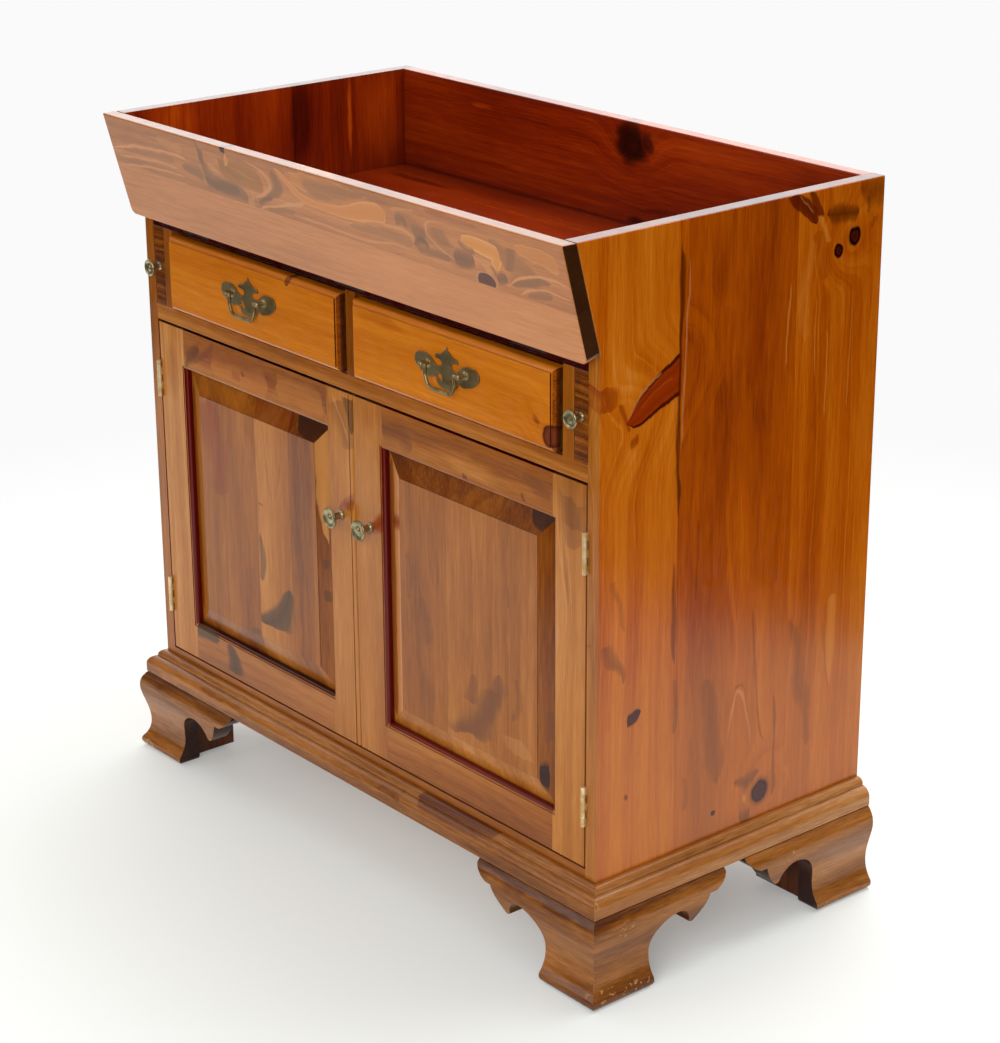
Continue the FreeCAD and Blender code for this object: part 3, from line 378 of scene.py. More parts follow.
def colourRamp(tree, value, stops):   # (position, colour, cover)
    ramp = addNode(tree, "ValToRGB", {0: value})
    elements = ramp.color_ramp.elements
    for index, (position, hexText, cover) in enumerate(stops):
        element = elements[index] if index < 2 else elements.new(position)
        element.position = position
        element.color = linearColour(hexText)[:3] + [cover]
    return ramp


def stainRamp(tree, tone, stain):
    last = len(stains[stain]) - 1
    return colourRamp(tree, tone, [(index / last, shade, 1.0) for index, shade in enumerate(stains[stain])])


def grainNoise(tree, wood, scale, detail, warp=0.0):   # waves per metre, along the directions of the wood
    at = addNode(tree, "Mapping", {"Vector": wood, "Scale": scale})
    return addNode(tree, "TexNoise", {"Vector": at, "Scale": 1.0, "Detail": detail, "Distortion": warp})


def perMetre(across, along):   # from the size of a wave across and along the grain
    return 1000 / across, 1000 / across, 1000 / along


def noiseShift(tree, wood, scale, reach):   # to and fro, by up to half of the reach
    noise = grainNoise(tree, wood, scale, 3.0).outputs["Color"]
    off = addNode(tree, "VectorMath SUBTRACT", {0: noise, 1: (0.5, 0.5, 0.5)})
    return addNode(tree, "VectorMath SCALE", {0: off, "Scale": reach})


def grainOf(tree, place, normal, look):   # places with z along the fibres, and how squarely a face cuts them
    ways = [look["grain"]] + (["y"] if look["corner"] else [])
    turns = [inRadians(grainTurn[way]) for way in ways]
    frames = [addNode(tree, "Mapping", {"Vector": place, "Rotation": turn}) for turn in turns]
    ends = [addNode(tree, "VectorMath DOT_PRODUCT", {0: normal, 1: grainWay[way]}) for way in ways]
    if not look["corner"]:
        return frames[0], ends[0]
    side, edge = look["corner"]    # a mitred bracket has a way for each side of the corner
    spot = addNode(tree, "VectorMath DOT_PRODUCT", {0: place, 1: side})
    past = addNode(tree, "Math GREATER_THAN", {0: spot, 1: edge * mm})
    alongGrain = addNode(tree, "Mix", {0: past, 4: frames[0], 5: frames[1]}, data_type="VECTOR")
    return alongGrain, addNode(tree, "Mix", {0: past, 2: ends[0], 3: ends[1]})


def glueUp(tree, place, alongGrain, tone, look):   # past a joint the wood is from another place in the tree
    pasts, lively = [], 1.0
    full, end, depth = look["seam"]
    for joint in look["glue"]:
        spot = addNode(tree, "VectorMath DOT_PRODUCT", {0: place, 1: joint["across"]})
        off = addNode(tree, "Math ADD", {0: spot, 1: -joint["at"] * mm})
        past = addNode(tree, "Math GREATER_THAN", {0: off, 1: 0.0})
        pasts.append(past)
        jump = addNode(tree, "VectorMath SCALE", {0: Vector(joint["jump"]) * mm, "Scale": past})
        alongGrain = addNode(tree, "VectorMath ADD", {0: alongGrain, 1: jump})
        tone = addNode(tree, "Math MULTIPLY_ADD", {0: past, 1: joint["tone"], 2: tone})
        near = addNode(tree, "Math ABSOLUTE", {0: off})
        seam = levels(tree, near, full * mm, end * mm, joint.get("seam", depth), 0.0)
        tone = addNode(tree, "Math ADD", {0: tone, 1: seam})
        if "calm" in joint:
            lively = levels(tree, past, 0.0, 1.0, joint["calm"], 1.0)
    return alongGrain, tone, pasts, lively


def growRings(tree, wood, alongGrain, look):   # years since the heart; the rings wander along the tree
    wander, across, along = look["sway"]
    shift = noiseShift(tree, wood, perMetre(across, along), wander * swayGain * mm)
    swayed = addNode(tree, "VectorMath ADD", {0: alongGrain, 1: shift})
    fromHeart = addNode(tree, "VectorMath SUBTRACT", {0: swayed, 1: Vector(look["heart"]) * mm})
    perYear = 1 / (look["year"] * mm)
    years = addNode(tree, "Mapping", {"Vector": fromHeart, "Rotation": inRadians(look["lean"]) + [0],
                                      "Scale": (perYear, perYear, 0)})
    return addNode(tree, "VectorMath LENGTH", {0: years})


def bendRings(tree, oval, phase, tone, look):   # knots bend the rings around them, and shade the wood
    for mark in look["marks"]:
        if "swell" not in mark and "tone" not in mark:
            continue
        away = awayFromSpot(tree, oval[mark.get("wobble", "fine")], mark)
        if "swell" in mark:
            swell = addNode(tree, "MapRange", {0: away, 1: 0.0, 2: mark["reach"], 3: mark["swell"], 4: 0.0},
                            interpolation_type="SMOOTHERSTEP", clamp=False)
            phase = addNode(tree, "Math ADD", {0: phase, 1: swell})
        if "tone" in mark:
            more = addNode(tree, "MapRange", {0: away, 1: mark.get("core", spotCore), 2: 1.0, 3: mark["tone"],
                                              4: 0.0}, interpolation_type="SMOOTHSTEP", clamp=False)
            tone = addNode(tree, "Math ADD", {0: tone, 1: more})
    return phase, tone


def shadeWood(tree, wood, phase, tone, lively, look):   # the tone of the wood, and its lines and fibres
    depth = look["yearDepth"]
    yearPart = addNode(tree, "Math FRACT", {0: phase})
    summer = addNode(tree, "Math POWER", {0: yearPart, 1: look["yearCurve"]})
    line = levels(tree, yearPart, *look["line"], 0.0, 1.0)
    yearNoise = addNode(tree, "TexNoise", {"W": phase, "Scale": yearWaves, "Detail": 1.0},
                        noise_dimensions="1D")
    fade = grainNoise(tree, wood, fadeWaves, 2.0)
    strength = addNode(tree, "Math MULTIPLY", {0: yearNoise, 1: fade})
    strength = levels(tree, strength, *look["lineShows"], 0.0, 1.0)
    line = addNode(tree, "Math MULTIPLY", {0: line, 1: strength})
    line = addNode(tree, "Math MULTIPLY", {0: line, 1: lively})
    tone = addNode(tree, "Math MULTIPLY_ADD", {0: line, 1: -look["lineDepth"], 2: tone})
    bands = levels(tree, yearNoise, noiseLow, noiseHigh, -depth, depth)
    bands = addNode(tree, "Math MULTIPLY_ADD", {0: summer, 1: depth, 2: bands})
    tone = addNode(tree, "Math MULTIPLY_ADD", {0: bands, 1: lively, 2: tone})
    for across, along, depth in look["figure"]:
        fibre = grainNoise(tree, wood, perMetre(across, along), 2.0, fibreWarp)
        shade = addNode(tree, "MapRange", {0: fibre, 1: noiseLow, 2: noiseHigh, 3: -depth, 4: depth},
                        clamp=False)
        tone = addNode(tree, "Math ADD", {0: tone, 1: shade})
    return tone, line, fibre


def paintMark(tree, mark, away, colour, place, normal, pasts, facing):
    onRamp = addNode(tree, "Math MULTIPLY", {0: away, 1: rampScale})
    paint, share = None, mark.get("cover", 1.0)
    if mark["look"] in knotColours:
        stops = knotColours[mark["look"]]
    else:
        shade, inside, further, where = softColours[mark["look"]]
        stops = [(0.0, shade, inside), (where, shade, further), (1.0, shade, 0)]
        paint = linearColour(shade)
    stops = [(where * rampScale, shade, cover * share) for where, shade, cover in stops]
    ramp = colourRamp(tree, onRamp, stops)
    paint, cover = paint or ramp, ramp.outputs[1]
    if "side" in mark:        # a mark that a joint cuts off: (joint, 0 before or 1 past it)
        joint, kept = mark["side"]
        kept = addNode(tree, "Math COMPARE", {0: pasts[joint], 1: kept})
        cover = addNode(tree, "Math MULTIPLY", {0: cover, 1: kept})
    if "way" in mark:         # only on the faces that look this way
        if mark["way"] not in facing:
            facing[mark["way"]] = facesWay(tree, normal, mark["way"])
        cover = addNode(tree, "Math MULTIPLY", {0: cover, 1: facing[mark["way"]]})
    if "specks" in mark:      # bare wood in specks of this size
        specks = addNode(tree, "TexNoise", {"Vector": place, "Scale": 1000 / mark["specks"], "Detail": 2.0})
        specks = levels(tree, specks, *speckEdge, 0.0, 1.0)
        cover = addNode(tree, "Math MULTIPLY", {0: cover, 1: specks})
    return addNode(tree, "Mix", {0: cover, 6: colour, 7: paint}, data_type="RGBA")


def wearAndVarnish(tree, place, across, colour, line, fibre, look):
    # end grain drinks more stain, crevices are darkened as painted shade, and edges are rubbed pale in
    # patches
    level = addNode(tree, "Math ABSOLUTE", {0: across})
    cutEnds = levels(tree, level, *look["endCut"], 0.0, look["endDepth"])
    colour = addNode(tree, "Mix", {0: cutEnds, 6: colour, 7: linearColour(look["endTone"])}, data_type="RGBA")
    softEdge, rub = roundEdges(tree, look["edge"], *look["edgeWear"], look["wear"][1])
    patchy = addNode(tree, "TexNoise", {"Vector": place, "Scale": look["patchScale"], "Detail": 3.0})
    rubbed = levels(tree, patchy, *look["wearPatches"], 1.0)
    rub = addNode(tree, "Math MULTIPLY", {0: rub, 1: rubbed})
    colour = addNode(tree, "Mix", {0: rub, 6: colour, 7: linearColour(look["wear"][0])}, data_type="RGBA")
    colour = hollowGrimeAndShade(tree, colour, look["crevice"], *look["creviceReach"], look["creviceDepth"])
    rough = levels(tree, patchy, noiseLow, noiseHigh, *look["rough"])
    height = addNode(tree, "Math ADD", {0: line, 1: fibre})
    strength, depth = look["bump"]
    bump = addNode(tree, "Bump", {"Strength": strength, "Distance": depth * mm, "Height": height,
                                  "Normal": softEdge})
    return addNode(tree, "BsdfPrincipled", {"Base Color": colour, "Roughness": rough, "IOR": 1.39,
                                            "Normal": bump})


def pineBoard(name, changes):
    look = {**stainedPine, **changes}
    material, tree = newMaterial(name)
    coords = addNode(tree, "TexCoord")
    place, normal = coords.outputs["Object"], coords.outputs["Normal"]
    if look["tilt"]:
        degrees, foot = look["tilt"]
        place = addNode(tree, "Mapping", {"Vector": place, "Location": Vector(foot) * mm,
                                          "Rotation": inRadians((degrees, 0, 0))}, vector_type="TEXTURE")
    alongGrain, across = grainOf(tree, place, normal, look)
    alongGrain, tone, pasts, lively = glueUp(tree, place, alongGrain, look["tone"], look)
    wood = addNode(tree, "VectorMath ADD", {0: alongGrain, 1: Vector(seedStep) * look["seed"]})
    phase = growRings(tree, wood, alongGrain, look)

    # marks lie in wobbling outlines, soft ones in wider wobbles; strokes are flat on the board's face
    oval, spots, facing = {}, {}, {}
    first, second, corner = look["plane"]
    for key, (scale, reach) in wobbles.items():
        shift = noiseShift(tree, wood, scale, reach * mm)
        oval[key] = addNode(tree, "VectorMath ADD", {0: shift, 1: place})
        moved = addNode(tree, "VectorMath SUBTRACT", {0: oval[key], 1: Vector(corner) * mm})
        split = addNode(tree, "SeparateXYZ", {0: moved})
        spots[key] = split.outputs[first], split.outputs[second]
    phase, tone = bendRings(tree, oval, phase, tone, look)
    tone, line, fibre = shadeWood(tree, wood, phase, tone, lively, look)

    colour = stainRamp(tree, tone, look["stain"])
    for way, start, stain, more in look["faces"]:
        other = addNode(tree, "Math ADD", {0: tone, 1: more})
        ramp = stainRamp(tree, other, stain)
        there = facesWay(tree, normal, way, start)
        colour = addNode(tree, "Mix", {0: there, 6: colour, 7: ramp}, data_type="RGBA")
    for mark in look["marks"]:
        if "look" in mark:
            wobble = mark.get("wobble", "fine")
            away = (awayFromPath(tree, spots[wobble], mark["path"]) if "path" in mark
                    else awayFromSpot(tree, oval[wobble], mark))
            colour = paintMark(tree, mark, away, colour, place, normal, pasts, facing)
    shader = wearAndVarnish(tree, place, across, colour, line, fibre, look)
    addNode(tree, "OutputMaterial", {0: shader})
    return material


def stroke(look, cover, *path, **more):   # its path: (across, up, half width)
    return {"look": look, "cover": cover, "path": path, **more}


def haze(look, cover, *path, **more):     # a stroke in a soft wobble
    return stroke(look, cover, *path, wobble="soft", **more)


def spot(at, size, **more):               # an oval: its middle and half sizes
    return {"at": at, "size": size, **more}


# Places of marks and joints are from the middle of the floor under the cabinet; the fall's are
# (along the board, depth, up its slope).
up, down, frontWay, rightWay, leftWay = (0, 0, 1), (0, 0, -1), (0, -1, 0), (1, 0, 0), (-1, 0, 0)
topEdge = (up, 0.85, "case", 0.22)
baseWood = {                   # mouldings and feet
    "stain": "base", "wear": ("#c89c68", 0.5),
    "figure": [(90, 300, 0.10), (24, 200, 0.07), (6, 90, 0.06), (1.6, 20, 0.09)]}
boards = {}
boards["side_right"] = {
    "heart": (300, 30, 0), "lean": (0.3, 0.9), "year": 8.0, "tone": 0.37, "sway": (5.0, 90, 560),
    "plane": (1, 2, (0, -191.4, 0)), "lineDepth": 0.2,
    "faces": [(leftWay, 0.5, "well", 0.10), (frontWay, 0.5, "doors", 0.02), topEdge],
    "glue": [{"across": (0, 1, 0.01), "at": -66, "jump": (120, 30, 800), "tone": 0.19, "seam": 0.2},
             {"across": (0, 1, 0.01), "at": 116, "jump": (-60, -50, 1500), "tone": -0.14, "seam": 0.03}],
    "marks": [
        haze("streak", 0.6, (396, 908, 14), (420, 902, 18), (446, 894, 16)),
        # painted reflection of the white floor, paling the lower part of the side
        spot((450, 30, 150), (900, 900, 300), look="bleach", cover=0.3),
        spot((450, -105, 716), (90, 90, 50), turn=(42, 0, 0), swell=4.0, reach=1.8),
        stroke("spike", 1, (38, 697, 4), (50, 703, 11), (78, 720, 18), (112, 737, 22), (128, 744, 24),
            side=(0, 0)),
        stroke("vein", 0.55, (42, 702, 1.2), (55, 721, 2.0), (74, 737, 2.0), (92, 747, 1.2)),
        stroke("glow", 0.2, (60, 712, 1.5), (84, 728, 1.5), (108, 738, 2.0)),
        haze("rust", 0.85, (0, 748, 15), (12, 735, 16), (8, 716, 12)),
        stroke("rust", 0.9, (45, 672, 7), (57, 677, 7)),
        stroke("rust", 0.8, (30, 722, 5), (36, 706, 4), (44, 688, 3)),
        stroke("streak", 1, (118, 893, 1.5), (119, 872, 5), (119.5, 845, 6), (120, 815, 5), (118.5, 790, 3),
            (118.5, 745, 2.5), (117, 700, 3), (117, 660, 4), (117, 625, 2.5), (120, 598, 4.5), (119, 570, 2)),
        stroke("vein", 0.5, (129, 872, 1.2), (131, 842, 1.6), (127, 800, 1.6), (126, 750, 1.6),
            (124, 700, 2.2), (123, 655, 2.0)),
        stroke("streak", 0.75, (114, 518, 1.5), (115, 480, 3.5), (116, 440, 4.5), (116, 412, 4),
            (118, 388, 2)),
        stroke("streak", 0.45, (118, 372, 4), (121, 335, 6), (120, 300, 4)),
        stroke("purple", 0.4, (137, 240, 5), (140, 215, 6), (138, 195, 4)),
        stroke("streak", 0.5, (152, 560, 2), (151, 500, 2.5), (149, 460, 2)),
        spot((450, 174.6, 837), (60, 7, 8), look="knot", swell=3.0, reach=8.0),
        spot((450, 201, 850), (60, 9, 10.5), look="knot", swell=3.0, reach=7.0),
        stroke("feather", 1, (290, 914, 9), (306, 899, 12), (320, 886, 9), (327, 874, 4)),
        stroke("feather", 0.9, (318, 914, 5), (329, 894, 6), (338, 880, 3)),
        stroke("vein", 0.35, (299, 911, 1.2), (310, 901, 1.5), (322, 889, 1.2)),
        stroke("glow", 0.8, (333, 884, 5), (342, 866, 5), (350, 850, 5)),
        haze("streak", 0.9, (346, 880, 9), (372, 882, 13), (396, 879, 10)),
        haze("shade", 0.7, (409, 900, 7), (412, 882, 6)), haze("shade", 0.6, (425, 872, 7), (424, 858, 5)),
        haze("rust", 0.45, (328, 868, 12), (336, 838, 14), (344, 806, 10)),
        haze("glow", 0.45, (316, 860, 8), (315, 800, 10), (318, 740, 8)),
        stroke("glow", 0.9, (290, 812, 1.0), (287, 770, 2.0), (285, 715, 1.5)),
        stroke("glow", 0.9, (352, 748, 1.2), (353, 700, 1.8), (352, 640, 1.2)),
        stroke("glow", 0.7, (333, 790, 1.0), (332, 740, 1.6), (334, 690, 1.0)),
        stroke("glow", 0.6, (394, 790, 1.2), (392, 720, 1.8), (390, 640, 1.2)),
        haze("rust", 0.35, (245, 880, 14), (236, 800, 16), (238, 700, 14)),
        stroke("greyKnot", 1, (45, 338, 6), (55, 341, 6.5), (67, 346, 2)),
        haze("shade", 0.75, (2, 446, 9), (18, 424, 9), (34, 402, 6), (37, 388, 3)),
        haze("shade", 0.4, (26, 520, 5), (30, 480, 6), (38, 450, 4)),
        stroke("vein", 0.55, (206, 262, 1.2), (213, 298, 3.0), (222, 326, 3.0), (232, 314, 3.0),
            (239, 288, 2.5), (247, 250, 1.5)),
        stroke("streak", 0.4, (211, 306, 1.0), (218, 332, 1.8), (228, 333, 1.8), (237, 316, 1.0)),
        stroke("glow", 0.9, (379, 410, 9), (379, 360, 9), (379, 330, 7.5), (380, 305, 4.5), (381, 286, 1.5)),
        stroke("streak", 0.3, (367, 400, 1.0), (369, 340, 1.5), (374, 305, 1.5), (380, 284, 1.5)),
        stroke("streak", 0.45, (243, 425, 2), (247, 380, 2.5), (252, 340, 2), (256, 298, 2), (263, 262, 2.5),
            (271, 244, 1.5)),
        stroke("shade", 0.7, (284, 305, 1.5), (287, 262, 3), (286, 226, 2.5), (288, 184, 6), (286, 168, 4)),
        spot((450, 73, 181.5), (60, 12.5, 14.5), turn=(-22, 0, 0), look="greyKnot", swell=3.0, reach=6.0),
        haze("purple", 0.7, (222, 206, 9), (242, 206, 12), (264, 204, 6)),
        haze("purple", 0.7, (234, 158, 14), (252, 160, 12)),
        stroke("glow", 0.8, (236, 180, 7), (242, 178, 7)),
        haze("purple", 0.45, (308, 395, 11), (320, 345, 14), (333, 290, 12), (340, 240, 9), (342, 214, 8)),
        haze("purple", 0.5, (170, 360, 10), (180, 300, 16), (186, 255, 18), (194, 215, 10)),
        spot((450, -5, 177), (60, 3, 3), look="greyKnot"),
        spot((450, -147, 243), (60, 2.5, 3), look="greyKnot", cover=0.7)]}
boards["side_left"] = {
    "heart": (-300, 20, 0), "tone": 0.45, "seed": 1.3,
    "faces": [(rightWay, 0.5, "well", -0.02), (frontWay, 0.5, "doors", 0.02), topEdge],
    "glue": [{"across": (0, 1, 0), "at": 40, "jump": (90, 20, 900), "tone": 0.06}],
    "marks": [
        spot((-431, 134, 860), (30, 5, 80), tone=-0.45), spot((-431, 50, 860), (30, 26, 90), tone=0.25),
        spot((-431, -150, 880), (30, 50, 60), tone=-0.30), spot((-431, 190, 850), (30, 50, 80), tone=-0.22)]}
boards["well_back"] = {
    "stain": "well", "grain": "x", "heart": (830, 330, 0), "lean": (0.6, 0.4), "tone": 0.46, "seed": 0.4,
    "lineDepth": 0.2, "faces": [topEdge],
    "marks": [
        spot((38, 229, 882), (24, 60, 26), look="darkKnot", wobble="soft", swell=4.0, reach=4.0),
        spot((68, 229, 893), (11, 60, 12), look="darkKnot", cover=0.8, wobble="soft"),
        spot((50, 229, 782), (16, 60, 10), look="darkKnot", cover=0.8),
        stroke("feather", 1, (-432, 781, 3.5), (432, 781, 3.5)),
        spot((-380, 229, 860), (200, 60, 80), tone=-0.14), spot((-260, 229, 888), (30, 60, 6), tone=-0.22),
        spot((200, 229, 800), (260, 60, 30), tone=0.12), spot((180, 229, 892), (190, 60, 14), tone=-0.12)]}
boards["well_floor"] = {
    "stain": "well", "grain": "x", "heart": (700, 20, 0), "tone": 0.44, "seed": 0.8,
    # its front edge, under the fall, is painted dark as the fall's shadow
    "faces": [(frontWay, 0.5, "oldPolishAndShadow", 0.3)],
    "glue": [{"across": (0, 1, 0), "at": -60, "jump": (50, 90, 700), "tone": 0.05}],
    "marks": [
        spot((-335, 180, 780), (90, 12, 40), tone=0.3)]}
boards["fall_board"] = {
    "stain": "fall", "grain": "x", "heart": (-900, 110, 0), "lean": (0.3, 0.2), "year": 17.0,
    "sway": (4, 70, 240), "tilt": (15, (0, -192, 780)), "tone": 0.34, "lineDepth": 0.14, "yearDepth": 0.10,
    "endDepth": 0.93, "endTone": "#1e0a04", "faces": [(up, 0.85, "fall", 0.25)],
    "glue": [{"across": (0.0174, 0, 1), "at": 70.4, "jump": (0, 260, 900), "tone": 0.10, "seam": 0.12,
             "calm": 0.1}],
    "marks": [
        haze("grey", 0.55, (165, 118, 8), (200, 104, 17), (240, 92, 17), (278, 86, 10)),
        haze("grey", 0.6, (325, 122, 8), (348, 104, 15), (372, 96, 15), (398, 88, 7)),
        haze("band", 0.35, (-60, 134, 6), (10, 128, 14), (80, 124, 12), (120, 130, 7)),
        stroke("grey", 0.55, (-425, 98, 3), (-390, 101, 5), (-350, 103, 5), (-300, 103, 4)),
        stroke("grey", 0.35, (-430, 83, 2), (-390, 86, 3), (-340, 89, 3), (-300, 88, 3)),
        stroke("vein", 1, (-452, 95, 1.6), (-420, 102, 2.6), (-385, 108, 3.2), (-340, 111, 2.8),
            (-300, 113, 3.2), (-274, 111, 3), (-262, 107, 1.5)),
        stroke("vein", 0.8, (-440, 87, 1.2), (-400, 90.5, 1.8), (-360, 93, 2.2), (-330, 95, 2.2),
            (-300, 93, 2.2)),
        stroke("vein", 0.85, (-440, 74, 1.4), (-400, 79, 2.2), (-370, 82, 2.2), (-340, 83, 1.8),
            (-300, 85, 2.4), (-284, 84, 1.2)),
        haze("pale", 0.4, (-330, 126, 6), (-300, 122, 9), (-272, 120, 9)),
        stroke("grey", 1, (-240, 137, 15), (-236, 114, 15), (-226, 96, 14), (-200, 88, 14), (-170, 87, 13),
            (-148, 82, 7)),
        stroke("grey", 0.9, (-285, 99, 4), (-262, 98, 9), (-240, 95, 12)),
        stroke("greyCore", 1, (-238, 92, 6), (-215, 86, 9), (-186, 88, 11), (-163, 88, 8)),
        stroke("greyCore", 0.8, (-232, 132, 6), (-236, 112, 6)),
        stroke("lobe", 1, (-198, 114, 14), (-160, 112, 19), (-125, 111, 18), (-106, 108, 14)),
        stroke("grey", 0.5, (-196, 124, 5), (-176, 112, 5), (-150, 107, 4)),
        stroke("vein", 0.35, (-170, 119, 1.5), (-145, 114, 2.0), (-122, 110, 1.2)),
        stroke("pale", 0.6, (-222, 114, 3), (-212, 110, 4.5), (-200, 106, 3)),
        stroke("grey", 1, (-124, 82, 4), (-106, 89, 5), (-86, 99, 9), (-74, 113, 12), (-80, 130, 9)),
        stroke("greyCore", 0.8, (-126, 78, 4), (-112, 86, 4), (-94, 92, 4)),
        stroke("vein", 0.85, (-133, 86, 2.6), (-120, 90, 3.2), (-105, 97, 3.4), (-94, 105, 4), (-91, 113, 4),
            (-99, 123, 3.4), (-114, 130, 3.2), (-134, 134, 2.6), (-158, 136, 2)),
        stroke("eye", 0.8, (-173, 131, 5), (-182, 122, 3.5)),
        stroke("greyKnot", 1, (-184, 141, 4), (-174, 140, 4)),
        stroke("pale", 0.5, (-150, 74, 7), (-138, 80, 6), (-134, 90, 4)),
        stroke("vein", 1, (-126, 72, 1.6), (-105, 79, 2.2), (-80, 85, 2.4), (-62, 90, 3.2), (-40, 94, 4),
            (-25, 99, 5)),
        stroke("grey", 0.6, (-110, 74, 3), (-80, 79, 4), (-50, 82, 4)),
        haze("band", 0.35, (-38, 134, 8), (-20, 128, 10)),
        stroke("grey", 0.6, (-20, 126, 9), (12, 122, 14), (45, 126, 12), (75, 130, 8), (105, 135, 4)),
        stroke("band", 1, (-73, 137, 3), (-62, 129, 4), (-50, 120, 5), (-38, 112, 6), (-25, 106, 5.5),
            (10, 102, 5), (40, 102, 7), (62, 105, 9.5), (80, 109, 12), (104, 114, 13.5), (128, 116, 12.5),
            (140, 116, 9)),
        stroke("vein", 0.8, (128, 103, 2.5), (150, 104, 3), (170, 103, 3), (186, 97, 2)),
        stroke("pale", 0.6, (150, 128, 2), (170, 131, 2.5), (196, 134, 2)),
        stroke("grey", 0.6, (60, 88, 4), (110, 91, 7), (150, 92, 8), (182, 90, 7)),
        stroke("vein", 0.75, (-60, 79, 1.0), (-30, 77, 2), (0, 77, 2.2), (40, 75, 2.2), (80, 75, 2.4),
            (105, 76, 2.2), (130, 80, 2.2), (160, 81, 2), (188, 80, 1.4)),
        stroke("grey", 1, (155, 114, 8), (166, 118, 10), (176, 112, 8)),
        stroke("grey", 0.9, (184, 106, 9), (196, 104, 14), (208, 107, 8)),
        stroke("greyCore", 1, (182, 90, 5), (198, 97, 7), (210, 92, 5)),
        stroke("grey", 0.9, (186, 86, 6), (215, 86, 7), (245, 84, 6)),
        stroke("grey", 0.7, (232, 120, 14), (236, 108, 14), (248, 100, 10)),
        stroke("vein", 0.6, (252, 131, 1.6), (229, 128, 2.4), (214, 122, 3), (211, 112, 3), (218, 102, 3),
            (229, 95, 2.6), (243, 89, 2.2), (256, 85, 1.4)),
        stroke("greyCore", 1, (252, 88, 9), (270, 90, 14), (290, 92, 10)),
        stroke("rust", 0.4, (215, 138, 3), (260, 137, 5), (308, 136, 3)),
        stroke("grey", 0.9, (346, 92, 8), (354, 104, 8), (360, 122, 10)),
        stroke("greyCore", 1, (324, 76, 4), (332, 79, 9), (342, 82, 6)),
        stroke("eye", 1, (272, 113, 7.5), (290, 113.5, 9), (312, 112, 10.5), (332, 108, 10.5), (338, 102, 9)),
        stroke("eye", 1, (330, 102, 9), (328, 94, 6.5), (327, 87, 2.5)),
        stroke("grey", 0.8, (266, 110, 4), (280, 105, 5), (294, 103, 5)),
        stroke("pale", 0.75, (304, 92, 4.5), (311, 86, 5.5), (315, 79, 4.5)),
        stroke("streak", 0.5, (318, 92, 2), (323, 84, 2), (325, 76, 1.5)),
        spot((304, -20, 69), (16, 60, 11), look="fallKnot", side=(0, 1)),
        stroke("grey", 1, (344, 76, 3), (365, 80, 6), (386, 86, 6), (408, 91, 4), (418, 91, 2)),
        stroke("grey", 0.8, (372, 68, 3), (395, 72, 5), (416, 75, 4)),
        stroke("vein", 1, (341, 72, 1.4), (355, 82, 2), (371, 89, 2.6), (390, 94, 2.4), (411, 97, 2.2),
            (445, 95, 1.5)),
        stroke("vein", 0.9, (359, 66, 1.2), (373, 73, 2), (390, 78, 2.2), (408, 81, 2.2), (429, 80, 1.6),
            (448, 79, 1)),
        haze("band", 0.5, (368, 122, 7), (400, 120, 13), (432, 114, 12))]}
# The fronts' faces that turn to the right are darker: partly end grain, partly painted shade on the lip's
# edge.
boards["drawer_left_front"] = {
    "stain": "drawers", "grain": "x", "tone": 0.37, "seed": 2.1, "heart": (700, 190, 0), "lineDepth": 0.08,
    "faces": [(rightWay, 0.25, "drawers", 0.38)],
    "marks": [
        spot((-116, -202, 752), (5, 40, 6), look="redKnot", cover=0.8)]}
boards["drawer_right_front"] = {
    "stain": "drawers", "grain": "x", "tone": 0.40, "seed": 3.7, "heart": (700, 190, 0), "year": 11.0,
    "faces": [(rightWay, 0.25, "drawers", 0.38)],
    "marks": [
        spot((380, -202, 676), (13, 40, 13), look="redKnot", swell=3.0, reach=6.0),
        spot((356, -202, 690), (10, 40, 6), turn=(0, 40, 0), tone=0.2),
        spot((200, -202, 664), (180, 40, 10), tone=0.08),
        spot((70, -202, 738), (60, 40, 10), look="rust", cover=0.35, wobble="soft")]}
